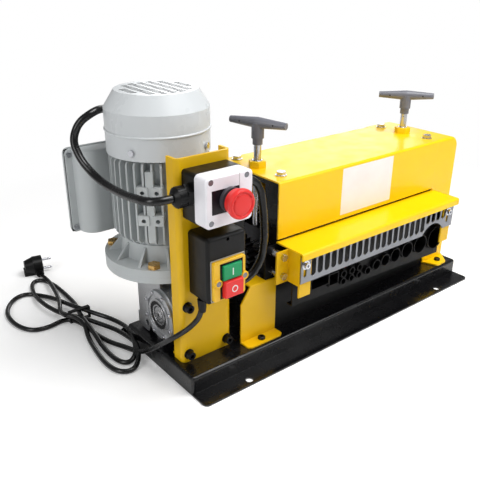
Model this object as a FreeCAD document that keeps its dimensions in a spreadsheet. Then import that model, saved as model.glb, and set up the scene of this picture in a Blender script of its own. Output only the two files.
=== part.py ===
"""Motor-driven benchtop cable stripping machine, in millimetres.

X runs along the machine to the right, Y to the back and Z up. The origin is the middle
of the four base holes, at the level that the tray stands on.
"""
import FreeCAD, Part
import Sketcher
import math
import os

os.makedirs("parts", exist_ok=True)

doc = FreeCAD.newDocument("cable_stripper")
sheet = doc.addObject("Spreadsheet::Sheet", "sizes")
V = FreeCAD.Vector
PIECES = []
BEARINGS = []
COVER_SCREWS = []
MOTOR_SCREWS = []
SOCKET_SCREWS = []
CONTROL_SCREWS = []
GLANDS = []


class Size:
    """A length, with the expression that ties it to the spreadsheet."""

    def __init__(self, text, value):
        self.text = text
        self.value = value

    def join(self, sign, other, value):
        return Size("(%s %s %s)" % (self.text, sign, as_size(other).text), value)

    def __add__(self, other):
        return self.join("+", other, self.value + number(other))

    def __sub__(self, other):
        return self.join("-", other, self.value - number(other))

    def __mul__(self, other):
        return self.join("*", other, self.value * number(other))

    def __truediv__(self, other):
        return self.join("/", other, self.value / number(other))

    def __radd__(self, other):
        return as_size(other) + self

    def __rsub__(self, other):
        return as_size(other) - self

    def __rmul__(self, other):
        return as_size(other) * self

    def __neg__(self):
        return Size("(0 - %s)" % self.text, -self.value)


def number(thing):
    return thing.value if isinstance(thing, Size) else float(thing)


def as_size(thing):
    return thing if isinstance(thing, Size) else Size(repr(float(thing)), float(thing))


class Sizes:
    """The driving dimensions: one attribute for each named cell."""

    def __init__(self, **cells):
        self.row = 0
        self.add(**cells)

    def add(self, **cells):
        for name, value in cells.items():
            self.row += 1
            sheet.set("A%d" % self.row, name)
            sheet.set("B%d" % self.row, str(value))
            sheet.setAlias("B%d" % self.row, name)
            setattr(self, name, Size("sizes." + name, float(value)))


# ---------------------------------------------------------------- driving dimensions
d = Sizes(
    # base tray
    tray_length=644, tray_width=192, tray_height=31, tray_sheet=3, tray_bend=5,
    flange_width=32.5, flange_corner=8, hole_spacing_x=468, hole_spacing_y=236, base_hole=12,
    # motor bracket
    bracket_x=-266.5, bracket_width=90, bracket_height=315, bracket_front=-57, bracket_plate=4,
    bracket_flange=24, bracket_bend=8, bracket_foot=34, sheet=2.5,
    # gearbox
    foot_to_wheel=61, wheel_height=85, worm_centres=50, foot_bolt_x=70, foot_bolt_z=80,
    hub_width=92, hub_radius=40, wheel_case=44, worm_case=30, shaft_bore=25,
    shell_wall=6, bearing_seat=31, adaptor_top=160.5, adaptor_thick=10.5, adaptor_radius=91,
    worm_radius=17, mesh_gap=0.5, hub_wall=5, seal_radius=24,
    # motor
    flange_thick=11.5, shield_height=27, motor_body_height=130, core_radius=60, fin_tip=74,
    fin_thick=3, cowl_radius=76, cowl_wall=2, cowl_height=63, cowl_cone=24.5, cowl_top_radius=60,
    bead=1.8, bead_drop=30, air_gap=0.6, rotor_radius=36, spindle_radius=9.5, fan_radius=66,
    box_width=154, box_height=134, box_low=186, box_back=168, box_x=-292, box_wall=5, box_step=10,
    box_round=26, lid_thick=3,
    box_gland_x=-290, box_gland_y=152,
    # roller unit
    plate_left=-120, plate_right=244, plate_thick=16, plate_front=-62, plate_back=84,
    plate_top=262, slot_width=52, slot_bottom=119, slot_y=12.5, screw_y=17,
    roller_centres=60, journal_gap=0.05, block_height=62,
    block_slack=0.3, blade_radius=44, blade_thick=3,
    gear_module=3, gear_width=16, gear_x=-160, backlash=0.5,
    screw_radius=6, screw_seat=8, handle_lift=47, handle_rise=24, handle_middle=9,
    handle_end=5.4, handle_length=100, handle_hub=10, handle_collar=8, collar_height=10,
    cover_bolt=4, top_seam=232,
    # front plate, guide and comb
    front_plate_left=-161, front_plate_top=182, guide_front=-100, guide_top=170,
    guide_bottom_left=86, guide_bottom_right=71, tube_front=-106, tube_wall=1.6,
    comb_face=-118.9, comb_bottom=133.4,
    comb_top=177, comb_left=-137, comb_right=249, slot_pitch=15, comb_slot=11,
    # covers
    cover_left=-137.4, cover_right=319.3, panel_right=254, cover_front=-65.4, cover_back=89,
    cover_top=281, panel_bottom=189, end_radius=20, hood_front=-119.4, hood_top=184.5, hood_lip=12,
    hood_right=259, wing_face=-90.4, wing_width=23.5, flange_strip=24.5, left_bottom=108.4,
    right_bottom=103.1, wing_step=19.7, right_web=247, tab_reach=29, tab_bolt_x=286, tab_bolt_y=13,
    # gear guard
    guard_left=-211, guard_right=-141, guard_face=-68.4, guard_top=127, guard_depth=40,
    guard_foot=21, guard_cut=27, guard_bolt_x=-177.5,
    # emergency stop
    stop_left=-303, stop_right=-226, stop_over=17, stop_height=70, stop_base=29, stop_cover=25,
    button_drop=34, mushroom_radius=20.5, collar_radius=17, stem_radius=8, stop_front=-139,
    stop_travel=4, slide_gap=0.3, gland_y=-72, gland_drop=31,
    # switch box
    switch_left=-296, switch_right=-229, switch_gap=18, switch_height=99, switch_depth=45,
    bezel_left=-290, bezel_right=-235, bezel_drop=34, bezel_height=60, bezel_depth=6,
    button_left=-275.5, button_right=-244.5, green_drop=41, green_height=22, red_drop=64.5,
    red_height=24.5,
    # leads and cord
    lead_radius=5.75, cord_radius=4, floor_gap=0.2, lead_switch_y=-85, lead_drop=90,
    hank_height=20, plug_radius=18.5,
)
doc.recompute()


# ---------------------------------------------------------------- building blocks
def bind(obj, **properties):
    for name, size in properties.items():
        path = name.replace("_", ".")
        if isinstance(size, Size):
            obj.setExpression(path, size.text)
        else:
            obj.setExpression(path, repr(float(size)))
    return obj


def put(obj, x=0, y=0, z=0):
    return bind(obj, Placement_Base_x=x, Placement_Base_y=y, Placement_Base_z=z)


def box(name, x, y, z):
    """Box from three (start, end) pairs."""
    obj = doc.addObject("Part::Box", name)
    bind(obj, Length=x[1] - x[0], Width=y[1] - y[0], Height=z[1] - z[0])
    return put(obj, x[0], y[0], z[0])


TURN = {
    "+x": FreeCAD.Rotation(V(0, 1, 0), 90),
    "+y": FreeCAD.Rotation(V(1, 0, 0), -90),
    "-y": FreeCAD.Rotation(V(1, 0, 0), 90),
    "+z": FreeCAD.Rotation(),
}


def turned(obj, along, at):
    obj.Placement = FreeCAD.Placement(V(), TURN[along])
    return put(obj, *at)


def rod(name, radius, length, at, along="+z"):
    obj = doc.addObject("Part::Cylinder", name)
    bind(obj, Radius=radius, Height=length)
    return turned(obj, along, at)


def cone(name, radius1, radius2, length, at, along="+z"):
    obj = doc.addObject("Part::Cone", name)
    bind(obj, Radius1=radius1, Radius2=radius2, Height=length)
    return turned(obj, along, at)


def hexagon(name, across_flats, length, at, along="+z"):
    obj = doc.addObject("Part::Prism", name)
    obj.Polygon = 6
    bind(obj, Circumradius=across_flats * (1 / math.sqrt(3)), Height=length)
    return turned(obj, along, at)


def fuse(name, *parts):
    obj = doc.addObject("Part::MultiFuse", name)
    obj.Shapes = list(parts)
    obj.Refine = True
    return obj


def group(name, *parts):
    """Several separate solids of one kind in one object."""
    obj = doc.addObject("Part::Compound", name)
    obj.Links = list(parts)
    return obj


def cut(name, base, *tools):
    tool = tools[0] if len(tools) == 1 else group(name + "_tools", *tools)
    obj = doc.addObject("Part::Cut", name)
    obj.Base = base
    obj.Tool = tool
    obj.Refine = True
    return obj


def rounded(name, base, radius, chosen):
    """Fillet on the edges of base for which chosen(edge) holds."""
    doc.recompute()
    obj = doc.addObject("Part::Fillet", name)
    obj.Base = base
    size = number(radius)
    edges = enumerate(base.Shape.Edges, 1)
    obj.Edges = [(index, size, size) for index, edge in edges if chosen(edge)]
    return obj


def chamfered(name, base, size, chosen):
    doc.recompute()
    obj = doc.addObject("Part::Chamfer", name)
    obj.Base = base
    side = number(size)
    edges = enumerate(base.Shape.Edges, 1)
    obj.Edges = [(index, side, side) for index, edge in edges if chosen(edge)]
    return obj


def near(value, target, slack=0.01):
    return abs(value - number(target)) < slack


def runs_along(edge, axis):
    """True for a straight edge that runs along the axis named x, y or z."""
    if len(edge.Vertexes) < 2:
        return False
    reach = edge.Vertexes[-1].Point - edge.Vertexes[0].Point
    straight = reach.Length > edge.Length * 0.9999 > 0
    return straight and abs(getattr(reach, axis)) > reach.Length * 0.9999


def middle(edge):
    return edge.BoundBox.Center


PLANES = {"xy": "XY_Plane", "xz": "XZ_Plane", "yz": "YZ_Plane"}


def body(name):
    return doc.addObject("PartDesign::Body", name)


def sketch(parent, name, plane, offset=0):
    """Sketch on an origin plane of its body. Sketch axes: xy X,Y; xz X,Z; yz Y,Z."""
    obj = parent.newObject("Sketcher::SketchObject", name)
    role = PLANES[plane]
    support = [item for item in parent.Origin.OriginFeatures if item.Role == role][0]
    obj.AttachmentSupport = [(support, "")]
    obj.MapMode = "FlatFace"
    if plane == "xz":
        offset = -as_size(offset)
    bind(obj, AttachmentOffset_Base_z=offset)
    return obj


def loop(obj, points):
    """Closed polygon in a sketch, each corner held by its two distances."""
    first = obj.GeometryCount
    count = len(points)
    spots = [V(number(u), number(v), 0) for u, v in points]
    for index in range(count):
        obj.addGeometry(Part.LineSegment(spots[index], spots[(index + 1) % count]))
    for index in range(count):
        line = first + index
        following = first + (index + 1) % count
        constrain(obj, "Coincident", line, 2, following, 1)
    for index, (u, v) in enumerate(points):
        hold(obj, first + index, 1, u, v)
    return obj


def constrain(obj, *values):
    return obj.addConstraint(Sketcher.Constraint(*values))


def hold(obj, geometry, point, u, v):
    """Tie a point of the sketch to its place."""
    for kind, place in (("DistanceX", u), ("DistanceY", v)):
        index = constrain(obj, kind, -1, 1, geometry, point, number(place))
        obj.setExpression("Constraints[%d]" % index, as_size(place).text)


def disc(obj, u, v, radius):
    """Circle in a sketch."""
    index = obj.addGeometry(Part.Circle(V(number(u), number(v), 0), V(0, 0, 1), number(radius)))
    hold(obj, index, 3, u, v)
    row = constrain(obj, "Radius", index, number(radius))
    obj.setExpression("Constraints[%d]" % row, as_size(radius).text)
    return obj


def pad(parent, profile, length, symmetric=False, reverse=False):
    obj = parent.newObject("PartDesign::Pad", profile.Name + "_pad")
    obj.Profile = profile
    bind(obj, Length=length)
    obj.Midplane = symmetric
    obj.Reversed = reverse
    profile.Visibility = False
    parent.Tip = obj
    return obj


def pocket(parent, profile, length, symmetric=False, reverse=False):
    obj = parent.newObject("PartDesign::Pocket", profile.Name + "_pocket")
    obj.Profile = profile
    bind(obj, Length=length)
    obj.Midplane = symmetric
    obj.Reversed = reverse
    parent.Tip = obj
    return obj


def fillet(parent, name, radius, chosen):
    doc.recompute()
    tip = parent.Tip
    edges = enumerate(tip.Shape.Edges, 1)
    names = ["Edge%d" % index for index, edge in edges if chosen(edge)]
    obj = parent.newObject("PartDesign::Fillet", name)
    obj.Base = (tip, names)
    bind(obj, Radius=radius)
    parent.Tip = obj
    return obj


def piece(label, obj):
    """Mark a finished object as a separate piece of the machine."""
    obj.Label = label
    PIECES.append(obj)
    doc.recompute()
    return obj


def bolt(name, at, along, shank_radius, shank, head_across, head, washer_radius=0, washer=0):
    """Hexagon bolt whose shank runs from at, along its axis, into the work behind the head."""
    back = {"+x": (-1, 0, 0), "+y": (0, -1, 0), "-y": (0, 1, 0), "+z": (0, 0, -1)}[along]
    deep = [place + side * number(shank) for place, side in zip(map(number, at), back)]
    parts = [hexagon(name + "_head", head_across, as_size(head) + washer, at, along)]
    parts.append(rod(name + "_shank", shank_radius, as_size(shank) + 1, deep, along))
    if washer:
        parts.append(rod(name + "_washer", washer_radius, washer, at, along))
    return fuse(name, *parts)


def socket_screw(name, at, along, radius, shank, washer_radius=0, washer=0):
    """Cap screw with a hexagon socket; at is the seat of its washer or head."""
    step = {"+x": (1, 0, 0), "+y": (0, 1, 0), "-y": (0, -1, 0), "+z": (0, 0, 1)}[along]

    def moved(distance):
        return [place + side * number(distance) for place, side in zip(at, step)]

    head = radius * 2
    parts = [rod(name + "_shank", radius, as_size(shank) + washer, moved(-as_size(shank)), along)]
    parts.append(rod(name + "_head", radius * 1.6, head, moved(washer), along))
    if washer:
        parts.append(rod(name + "_washer", washer_radius, washer, at, along))
    solid = fuse(name + "_solid", *parts)
    depth = head * 0.55
    key = hexagon(name + "_key", radius * 1.5, depth + 1, moved(washer + head - depth), along)
    return cut(name, solid, key)


# ---------------------------------------------------------------- base tray
half_length = d.tray_length / 2
half_width = d.tray_width / 2
half_flange = half_width + d.flange_width


def rectangle(obj, u, v):
    return loop(obj, [(u[0], v[0]), (u[1], v[0]), (u[1], v[1]), (u[0], v[1])])


def base_tray():
    """Bent sheet tray with an outward flange in front and behind."""
    tray = body("tray_body")
    top = sketch(tray, "tray_top", "xy")
    rectangle(top, (-half_length, half_length), (-half_width, half_width))
    pad(tray, top, d.tray_height)
    fillet(tray, "tray_bends", d.tray_bend, lambda e: middle(e).z > 1)
    flange = sketch(tray, "tray_flange", "xy")
    rectangle(flange, (-half_length, half_length), (-half_flange, half_flange))
    pad(tray, flange, d.tray_sheet)
    fillet(tray, "flange_corners", d.flange_corner,
           lambda e: runs_along(e, "z") and near(abs(middle(e).y), half_flange))
    inner_x = half_length - d.tray_sheet
    inner_y = half_width - d.tray_sheet
    hollow = sketch(tray, "tray_hollow", "xy")
    rectangle(hollow, (-inner_x, inner_x), (-inner_y, inner_y))
    pocket(tray, hollow, d.tray_height - d.tray_sheet, reverse=True)
    fillet(tray, "inner_bends", d.tray_bend - d.tray_sheet,
           lambda e: middle(e).z > 1 and near(abs(middle(e).x), inner_x, 0.1)
           or middle(e).z > 1 and near(abs(middle(e).y), inner_y, 0.1))
    holes = sketch(tray, "base_holes", "xy")
    for side_x in (-1, 1):
        for side_y in (-1, 1):
            disc(holes, side_x * d.hole_spacing_x / 2, side_y * d.hole_spacing_y / 2, d.base_hole / 2)
    pocket(tray, holes, d.tray_sheet * 4, symmetric=True)
    threads = sketch(tray, "tray_threads", "xy", d.tray_height)
    for x, y in tray_bolt_spots():
        disc(threads, x, y, 3)
    pocket(tray, threads, d.tray_sheet * 4, symmetric=True)
    piece("base_tray", tray)


def tray_bolt_spots():
    """Bolts of the gear guard and of the end cover's foot."""
    return ((d.guard_bolt_x, d.guard_face - 10), (d.tab_bolt_x, d.plate_front - d.sheet - d.tab_bolt_y))


base_tray()


# ---------------------------------------------------------------- motor bracket and gearbox
bracket_back = d.bracket_front + d.bracket_plate
bracket_left = d.bracket_x - d.bracket_width / 2
bracket_right = d.bracket_x + d.bracket_width / 2
wheel_y = bracket_back + d.foot_to_wheel
worm_y = wheel_y + d.worm_centres
clear = 0.2
housing_width = d.bracket_width - d.bracket_plate * 2 - clear * 2
hollow_shaft = d.shaft_bore / 2 + 5


def motor_bracket():
    """Tall U channel of folded plate that carries the gearbox and the switches."""
    channel = body("bracket_body")
    plate = d.bracket_plate
    front, back = d.bracket_front, d.bracket_front + d.bracket_flange
    section = sketch(channel, "bracket_section", "xy", d.tray_height)
    loop(section, [
        (bracket_left, front), (bracket_right, front), (bracket_right, back),
        (bracket_right - plate, back), (bracket_right - plate, front + plate),
        (bracket_left + plate, front + plate), (bracket_left + plate, back), (bracket_left, back),
    ])
    pad(channel, section, d.bracket_height)
    fillet(channel, "bracket_outer_bends", d.bracket_bend,
           lambda e: runs_along(e, "z") and near(middle(e).y, front))
    fillet(channel, "bracket_inner_bends", d.bracket_bend - plate,
           lambda e: runs_along(e, "z") and near(middle(e).y, front + plate))
    foot = sketch(channel, "bracket_foot", "xy", d.tray_height)
    rectangle(foot, (bracket_left + plate, bracket_right - plate), (front + 1, front + d.bracket_foot))
    pad(channel, foot, d.tray_sheet)
    holes = sketch(channel, "bracket_holes", "xz")
    for side_x in (-1, 1):
        for side_z in (-1, 1):
            disc(holes, d.bracket_x + side_x * d.foot_bolt_x / 2,
                 d.wheel_height + side_z * d.foot_bolt_z / 2, 4 + clear)
    pocket(channel, holes, 400, symmetric=True)
    piece("motor_bracket", channel)


motor_bracket()


def gearbox_housing():
    """Cast worm gearbox: wheel case across the machine, worm case upright behind it."""
    x, y, z = d.bracket_x, wheel_y, d.wheel_height
    half = housing_width / 2
    foot_half = d.foot_bolt_z / 2 + 10
    worm_low = z - 46
    worm_top = d.adaptor_top - d.adaptor_thick
    foot = box("gear_foot", (x - half, x + half), (bracket_back, bracket_back + 10),
               (z - foot_half, z + foot_half))
    parts = [
        rounded("gear_foot_edges", foot, d.bracket_bend - d.bracket_plate + 0.5,
                lambda e: runs_along(e, "z") and near(middle(e).y, bracket_back)),
        box("gear_neck", (x - half + 6, x + half - 6), (bracket_back, y), (z - 38, z + 38)),
        rod("wheel_case", d.wheel_case, housing_width, (x - half, y, z), "+x"),
        rod("wheel_hub", d.hub_radius, d.hub_width, (x - d.hub_width / 2, y, z), "+x"),
        rod("worm_case", d.worm_case, worm_top - worm_low, (x, worm_y, worm_low)),
        box("case_web", (x - 24, x + 24), (y, worm_y), (z - 42, z + 44)),
    ]
    for side_z in (-1, 1):
        parts.append(box("case_rib", (x - half + 3, x - half + 7), (bracket_back, worm_y),
                         (z + side_z * 30 - 2, z + side_z * 30 + 2)))
    cheek_back = y + 69
    lug_y, lug_z = 44.7, 48
    lug = box("case_lug", (x - half, x - half + 14), (y + 38, y + 73), (lug_z - 15, lug_z + 11))
    parts.extend([
        box("case_cheek", (x - half, x - half + 6), (y, cheek_back), (lug_z + 5, worm_top)),
        box("case_back", (x - half, x - 15), (cheek_back - 6, cheek_back), (lug_z + 5, worm_top)),
        rounded("case_lug_edges", lug, 8, lambda e: runs_along(e, "x") and middle(e).z < lug_z),
    ])
    solid = fuse("gearbox_casting", *parts)
    hub_left = x - d.hub_width / 2
    room = d.hub_width - d.hub_wall * 2
    tools = [
        rod("hub_bore", d.seal_radius, d.hub_width + 2, (hub_left - 1, y, z), "+x"),
        rod("hub_room", d.bearing_seat, room, (hub_left + d.hub_wall, y, z), "+x"),
        cut("hub_groove", rod("groove_outer", 32, 4, (hub_left - 1, y, z), "+x"),
            rod("groove_inner", 26, 6, (hub_left - 2, y, z), "+x")),
        rod("lug_hole", 5, 20, (x - half - 1, y + lug_y, lug_z), "+x"),
        rod("wheel_room", d.worm_centres - d.worm_radius + 1, 44, (x - 22, y, z), "+x"),
        rod("worm_room", d.worm_radius + 1.5, worm_top - worm_low - d.shell_wall + 1,
            (x, worm_y, worm_low + d.shell_wall)),
    ]
    for side_x in (-1, 1):
        for side_z in (-1, 1):
            tools.append(rod("foot_thread", 4 + clear, 16,
                             (x + side_x * d.foot_bolt_x / 2, bracket_back - 1,
                              z + side_z * d.foot_bolt_z / 2), "+y"))
    for turn in range(8):
        angle = math.radians(22.5 + 45 * turn)
        radius = d.hub_radius - 4
        tools.append(rod("hub_thread", 2.2, 4,
                         (hub_left - 1, y + radius * math.cos(angle),
                          z + radius * math.sin(angle)), "+x"))
    piece("gearbox_housing", cut("gearbox_body", solid, *tools))
    seals = []
    for side in (-1, 1):
        inside = x + side * (d.hub_width / 2 - d.hub_wall - 4) - 3.5
        in_wall = x + side * (d.hub_width - d.hub_wall) / 2 - 2
        BEARINGS.append(hub_ring("hub_bearing", d.bearing_seat, 7, inside))
        seals.append(hub_ring("seal", d.seal_radius, 4, in_wall))
    piece("hub_seals", group("hub_seal_pair", *seals))


def hub_ring(name, radius, width, start):
    """Ring between the gearbox hub and the hollow shaft."""
    outer = rod(name + "_outer", radius, width, (start, wheel_y, d.wheel_height), "+x")
    inner = rod(name + "_inner", hollow_shaft + d.journal_gap, width + 2,
                (start - 1, wheel_y, d.wheel_height), "+x")
    return cut(name, outer, inner)


gearbox_housing()


def gearbox_screws():
    screws = []
    for side_x in (-1, 1):
        for side_z in (-1, 1):
            at = (d.bracket_x + side_x * d.foot_bolt_x / 2, d.bracket_front,
                  d.wheel_height + side_z * d.foot_bolt_z / 2)
            screws.append(socket_screw("foot_screw", at, "-y", 4, 17, 8, 1.6))
    SOCKET_SCREWS.extend(screws)


gearbox_screws()


# ---------------------------------------------------------------- motor
def ring(name, outer, inner, length, at):
    shell = rod(name + "_outer", outer, length, at)
    hole = rod(name + "_inner", inner, as_size(length) + 2, (at[0], at[1], at[2] - 1))
    return cut(name, shell, hole)


flange_top = d.adaptor_top + d.flange_thick
shield_top = flange_top + d.shield_height
motor_top = shield_top + d.motor_body_height
axis = (d.bracket_x, worm_y)
FLANGE_TURN = -132
flange_pitch = d.adaptor_radius - 11
box_front = worm_y + d.fin_tip + 1


def input_flange():
    low = d.adaptor_top - d.adaptor_thick
    plate = ring("input_plate", d.adaptor_radius, d.worm_radius + 3, d.adaptor_thick, (*axis, low))
    threads = [rod("flange_thread", 5, 20, (x, y, low - 2)) for x, y in flange_spots()]
    plate = cut("input_plate_drilled", plate, *threads)
    piece("input_flange", rounded("input_edge", plate, 2,
                                  lambda e: near(middle(e).z, low) and e.Length > 300))


def drive_end_shield():
    """Motor flange with a bell and triangular ribs between them."""
    parts = [
        rod("shield_flange", d.adaptor_radius, d.flange_thick, (*axis, d.adaptor_top)),
        cone("shield_bell", d.core_radius + 6, d.core_radius + 2, d.shield_height, (*axis, flange_top)),
    ]
    for turn in range(12):
        parts.append(shield_rib(turn * 30 + 15 + FLANGE_TURN))
    solid = fuse("shield_solid", *parts)
    bore = rod("shield_bore", d.spindle_radius + 8.5, 60, (*axis, d.adaptor_top - 1))
    room = rod("rotor_room", d.core_radius - 6, d.shield_height - 4, (*axis, flange_top + 5))
    tools = [bore, room]
    for x, y in flange_spots():
        tools.append(rod("flange_hole", 5, 14, (x, y, d.adaptor_top - 1)))
    piece("drive_end_shield", cut("shield_body", solid, *tools))


def shield_rib(degrees):
    """Triangular rib: long at the flange, short at the top of the bell."""
    rib = doc.addObject("Part::Wedge", "shield_rib")
    inner = d.core_radius - 4
    bind(rib, Xmin=0, Xmax=d.adaptor_radius - 6 - inner, Ymin=0, Ymax=d.shield_height - 3,
         Zmin=0, Zmax=4, X2min=0, X2max=8, Z2min=0, Z2max=4)
    upright = FreeCAD.Rotation(V(0, 0, 1), degrees) * FreeCAD.Rotation(V(1, 0, 0), 90)
    rib.Placement = FreeCAD.Placement(V(), upright)
    angle = math.radians(degrees)
    return put(rib, axis[0] + inner * math.cos(angle) - 2 * math.sin(angle),
               axis[1] + inner * math.sin(angle) + 2 * math.cos(angle), flange_top - 1)


def flange_spots():
    for turn in range(4):
        angle = math.radians(FLANGE_TURN + 90 * turn)
        yield (axis[0] + flange_pitch * math.cos(angle), axis[1] + flange_pitch * math.sin(angle))


def flange_bolts():
    bolts = []
    for x, y in flange_spots():
        bolts.append(bolt("flange_bolt", (x, y, flange_top), "+z", 5, 20, 17, 6.5))
    piece("flange_bolts", group("flange_bolt_set", *bolts))


def finned_body():
    """Cast motor frame: a drum with upright fins and two pairs of pads for feet."""
    frame = body("motor_frame")
    height = d.motor_body_height
    drum = sketch(frame, "frame_drum", "xy")
    disc(drum, 0, 0, d.core_radius)
    pad(frame, drum, height)
    fin = sketch(frame, "frame_fin", "xz")
    root = d.core_radius - 1
    loop(fin, [(root, 4), (d.fin_tip - 6, 4), (d.fin_tip, 12), (d.fin_tip, height - 8),
               (d.fin_tip - 3, height - 3), (root, height - 3)])
    first = pad(frame, fin, d.fin_thick, symmetric=True)
    ring_of = frame.newObject("PartDesign::PolarPattern", "frame_fins")
    ring_of.Originals = [first]
    ring_of.Axis = ([item for item in frame.Origin.OriginFeatures if item.Role == "Z_Axis"][0], [""])
    ring_of.Angle = 360
    ring_of.Occurrences = 36
    frame.Tip = ring_of
    put(frame, axis[0], axis[1], shield_top)
    parts = [frame]
    for low in PAD_LOWS:
        for side in (-1, 1):
            parts.append(foot_pad(side, shield_top + low))
    parts.append(pad_rib())
    neck_low = d.box_low + 30
    parts.append(box("box_neck", (axis[0] - 24, axis[0] + 24), (axis[1] + d.core_radius - 5, box_front),
                     (neck_low, neck_low + 64)))
    solid = fuse("motor_casting", *parts)
    tools = [rod("frame_bore", d.core_radius - 6, height + 2, (*axis, shield_top - 1))]
    for low in PAD_LOWS:
        for side in (-1, 1):
            tools.append(pad_hole(side, shield_top + low + 7))
    piece("motor_body", cut("motor_body_solid", solid, *tools))


PAD_TURN = -133
PAD_LOWS = (37, 79)
PAD_ACROSS = 10.2


def pad_place(obj, across, out, z):
    """Stand an object in the frame of the foot pads, across by out from the motor's axis."""
    angle = math.radians(PAD_TURN)
    obj.Placement = FreeCAD.Placement(V(), FreeCAD.Rotation(V(0, 0, 1), PAD_TURN))
    return put(obj, axis[0] + out * math.cos(angle) - across * math.sin(angle),
               axis[1] + out * math.sin(angle) + across * math.cos(angle), z)


def foot_pad(side, z):
    pad_box = doc.addObject("Part::Box", "foot_pad")
    bind(pad_box, Length=d.fin_tip - d.core_radius + 7, Width=16, Height=15)
    return pad_place(pad_box, side * PAD_ACROSS - 8, d.core_radius - 4, z)


def pad_rib():
    """Broad upright rib that joins the foot pads."""
    rib = doc.addObject("Part::Box", "pad_rib")
    bind(rib, Length=d.fin_tip - d.core_radius + 5, Width=11, Height=d.motor_body_height - 24)
    return pad_place(rib, -5.5, d.core_radius - 4, shield_top + 10)


def pad_hole(side, z):
    hole = doc.addObject("Part::Cylinder", "pad_hole")
    bind(hole, Radius=3, Height=14)
    angle = math.radians(PAD_TURN)
    upright = FreeCAD.Rotation(V(0, 0, 1), PAD_TURN) * FreeCAD.Rotation(V(0, 1, 0), 90)
    hole.Placement = FreeCAD.Placement(V(), upright)
    out, across = d.fin_tip - 9, side * PAD_ACROSS
    return put(hole, axis[0] + out * math.cos(angle) - across * math.sin(angle),
               axis[1] + out * math.sin(angle) + across * math.cos(angle), z)


cowl_low = motor_top
cowl_straight = d.cowl_height


def fan_cowl():
    """Sheet cowl over the fan: straight skirt, rolled bead, cone and vented top."""
    wall = d.cowl_wall
    top = cowl_low + cowl_straight
    parts = [
        rod("cowl_skirt", d.cowl_radius, cowl_straight, (*axis, cowl_low)),
        cone("cowl_cone", d.cowl_radius, d.cowl_top_radius, d.cowl_cone, (*axis, top)),
        bead_ring(top - d.bead_drop),
    ]
    solid = fuse("cowl_outside", *parts)
    tools = [
        rod("cowl_room", d.cowl_radius - wall, cowl_straight + 1, (*axis, cowl_low - 1)),
        cone("cowl_cone_room", d.cowl_radius - wall, d.cowl_top_radius - wall, d.cowl_cone - wall,
             (*axis, top)),
    ]
    tools.extend(vent_slots(top + d.cowl_cone - wall - 1))
    for x, y, degrees in cowl_screw_spots():
        hole = rod("cowl_screw_hole", 2.5, 12, (0, 0, 0))
        tools.append(point_out(hole, degrees, d.cowl_radius - 9, cowl_low + 12))
    shell = cut("cowl_shell", solid, *tools)
    piece("fan_cowl", shell)


def bead_ring(z):
    obj = doc.addObject("Part::Torus", "cowl_bead")
    bind(obj, Radius1=d.cowl_radius - 0.4, Radius2=d.bead)
    return put(obj, *axis, z)


def vent_slots(z):
    """Rows of short slots through the top of the cowl."""
    slots = []
    for row in range(-6, 7):
        for column in range(-3, 4):
            x, y = column * 15, row * 7.6
            if math.hypot(abs(x) + 5, y) < number(d.cowl_top_radius) - 6:
                slots.append(box("vent_slot", (axis[0] + x - 5, axis[0] + x + 5),
                                 (axis[1] + y - 1.9, axis[1] + y + 1.9), (z, z + 6)))
    return slots


def cowl_screw_spots():
    for turn in range(4):
        degrees = PAD_TURN - 17 + 90 * turn
        angle = math.radians(degrees)
        yield math.cos(angle), math.sin(angle), degrees


def point_out(obj, degrees, out, z):
    """Lay an upright object on its side, pointing away from the motor's axis."""
    angle = math.radians(degrees)
    lying = FreeCAD.Rotation(V(0, 0, 1), degrees) * FreeCAD.Rotation(V(0, 1, 0), 90)
    obj.Placement = FreeCAD.Placement(V(), lying)
    return put(obj, axis[0] + out * math.cos(angle), axis[1] + out * math.sin(angle), z)


def cowl_screws():
    screws = []
    for x, y, degrees in cowl_screw_spots():
        shank = point_out(rod("cowl_shank", 2.5, 9, (0, 0, 0)), degrees, d.cowl_radius - 8, cowl_low + 12)
        head = point_out(rod("cowl_head", 4.5, 4, (0, 0, 0)), degrees, d.cowl_radius, cowl_low + 12)
        screws.append(fuse("cowl_screw", shank, head))
    MOTOR_SCREWS.extend(screws)


def tail_shield():
    """Rear end shield inside the cowl, with the rear bearing seat."""
    plate = rod("tail_plate", d.cowl_radius - d.cowl_wall, 16, (*axis, motor_top + 4))
    spigot = rod("tail_spigot", d.core_radius - 6, 5, (*axis, motor_top))
    bore = rod("tail_bore", d.spindle_radius + d.journal_gap, 40, (*axis, motor_top - 2))
    solid = fuse("tail_solid", plate, spigot)
    tools = [bore]
    for x, y, degrees in cowl_screw_spots():
        hole = rod("tail_hole", 2.5, 12, (0, 0, 0))
        tools.append(point_out(hole, degrees, d.cowl_radius - 8, cowl_low + 12))
    piece("tail_end_shield", cut("tail_body", solid, *tools))


def stator():
    low, high = shield_top + 12, motor_top - 12
    piece("stator", ring("stator_core", d.core_radius - 6, d.rotor_radius + d.air_gap, high - low,
                         (*axis, low)))


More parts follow.
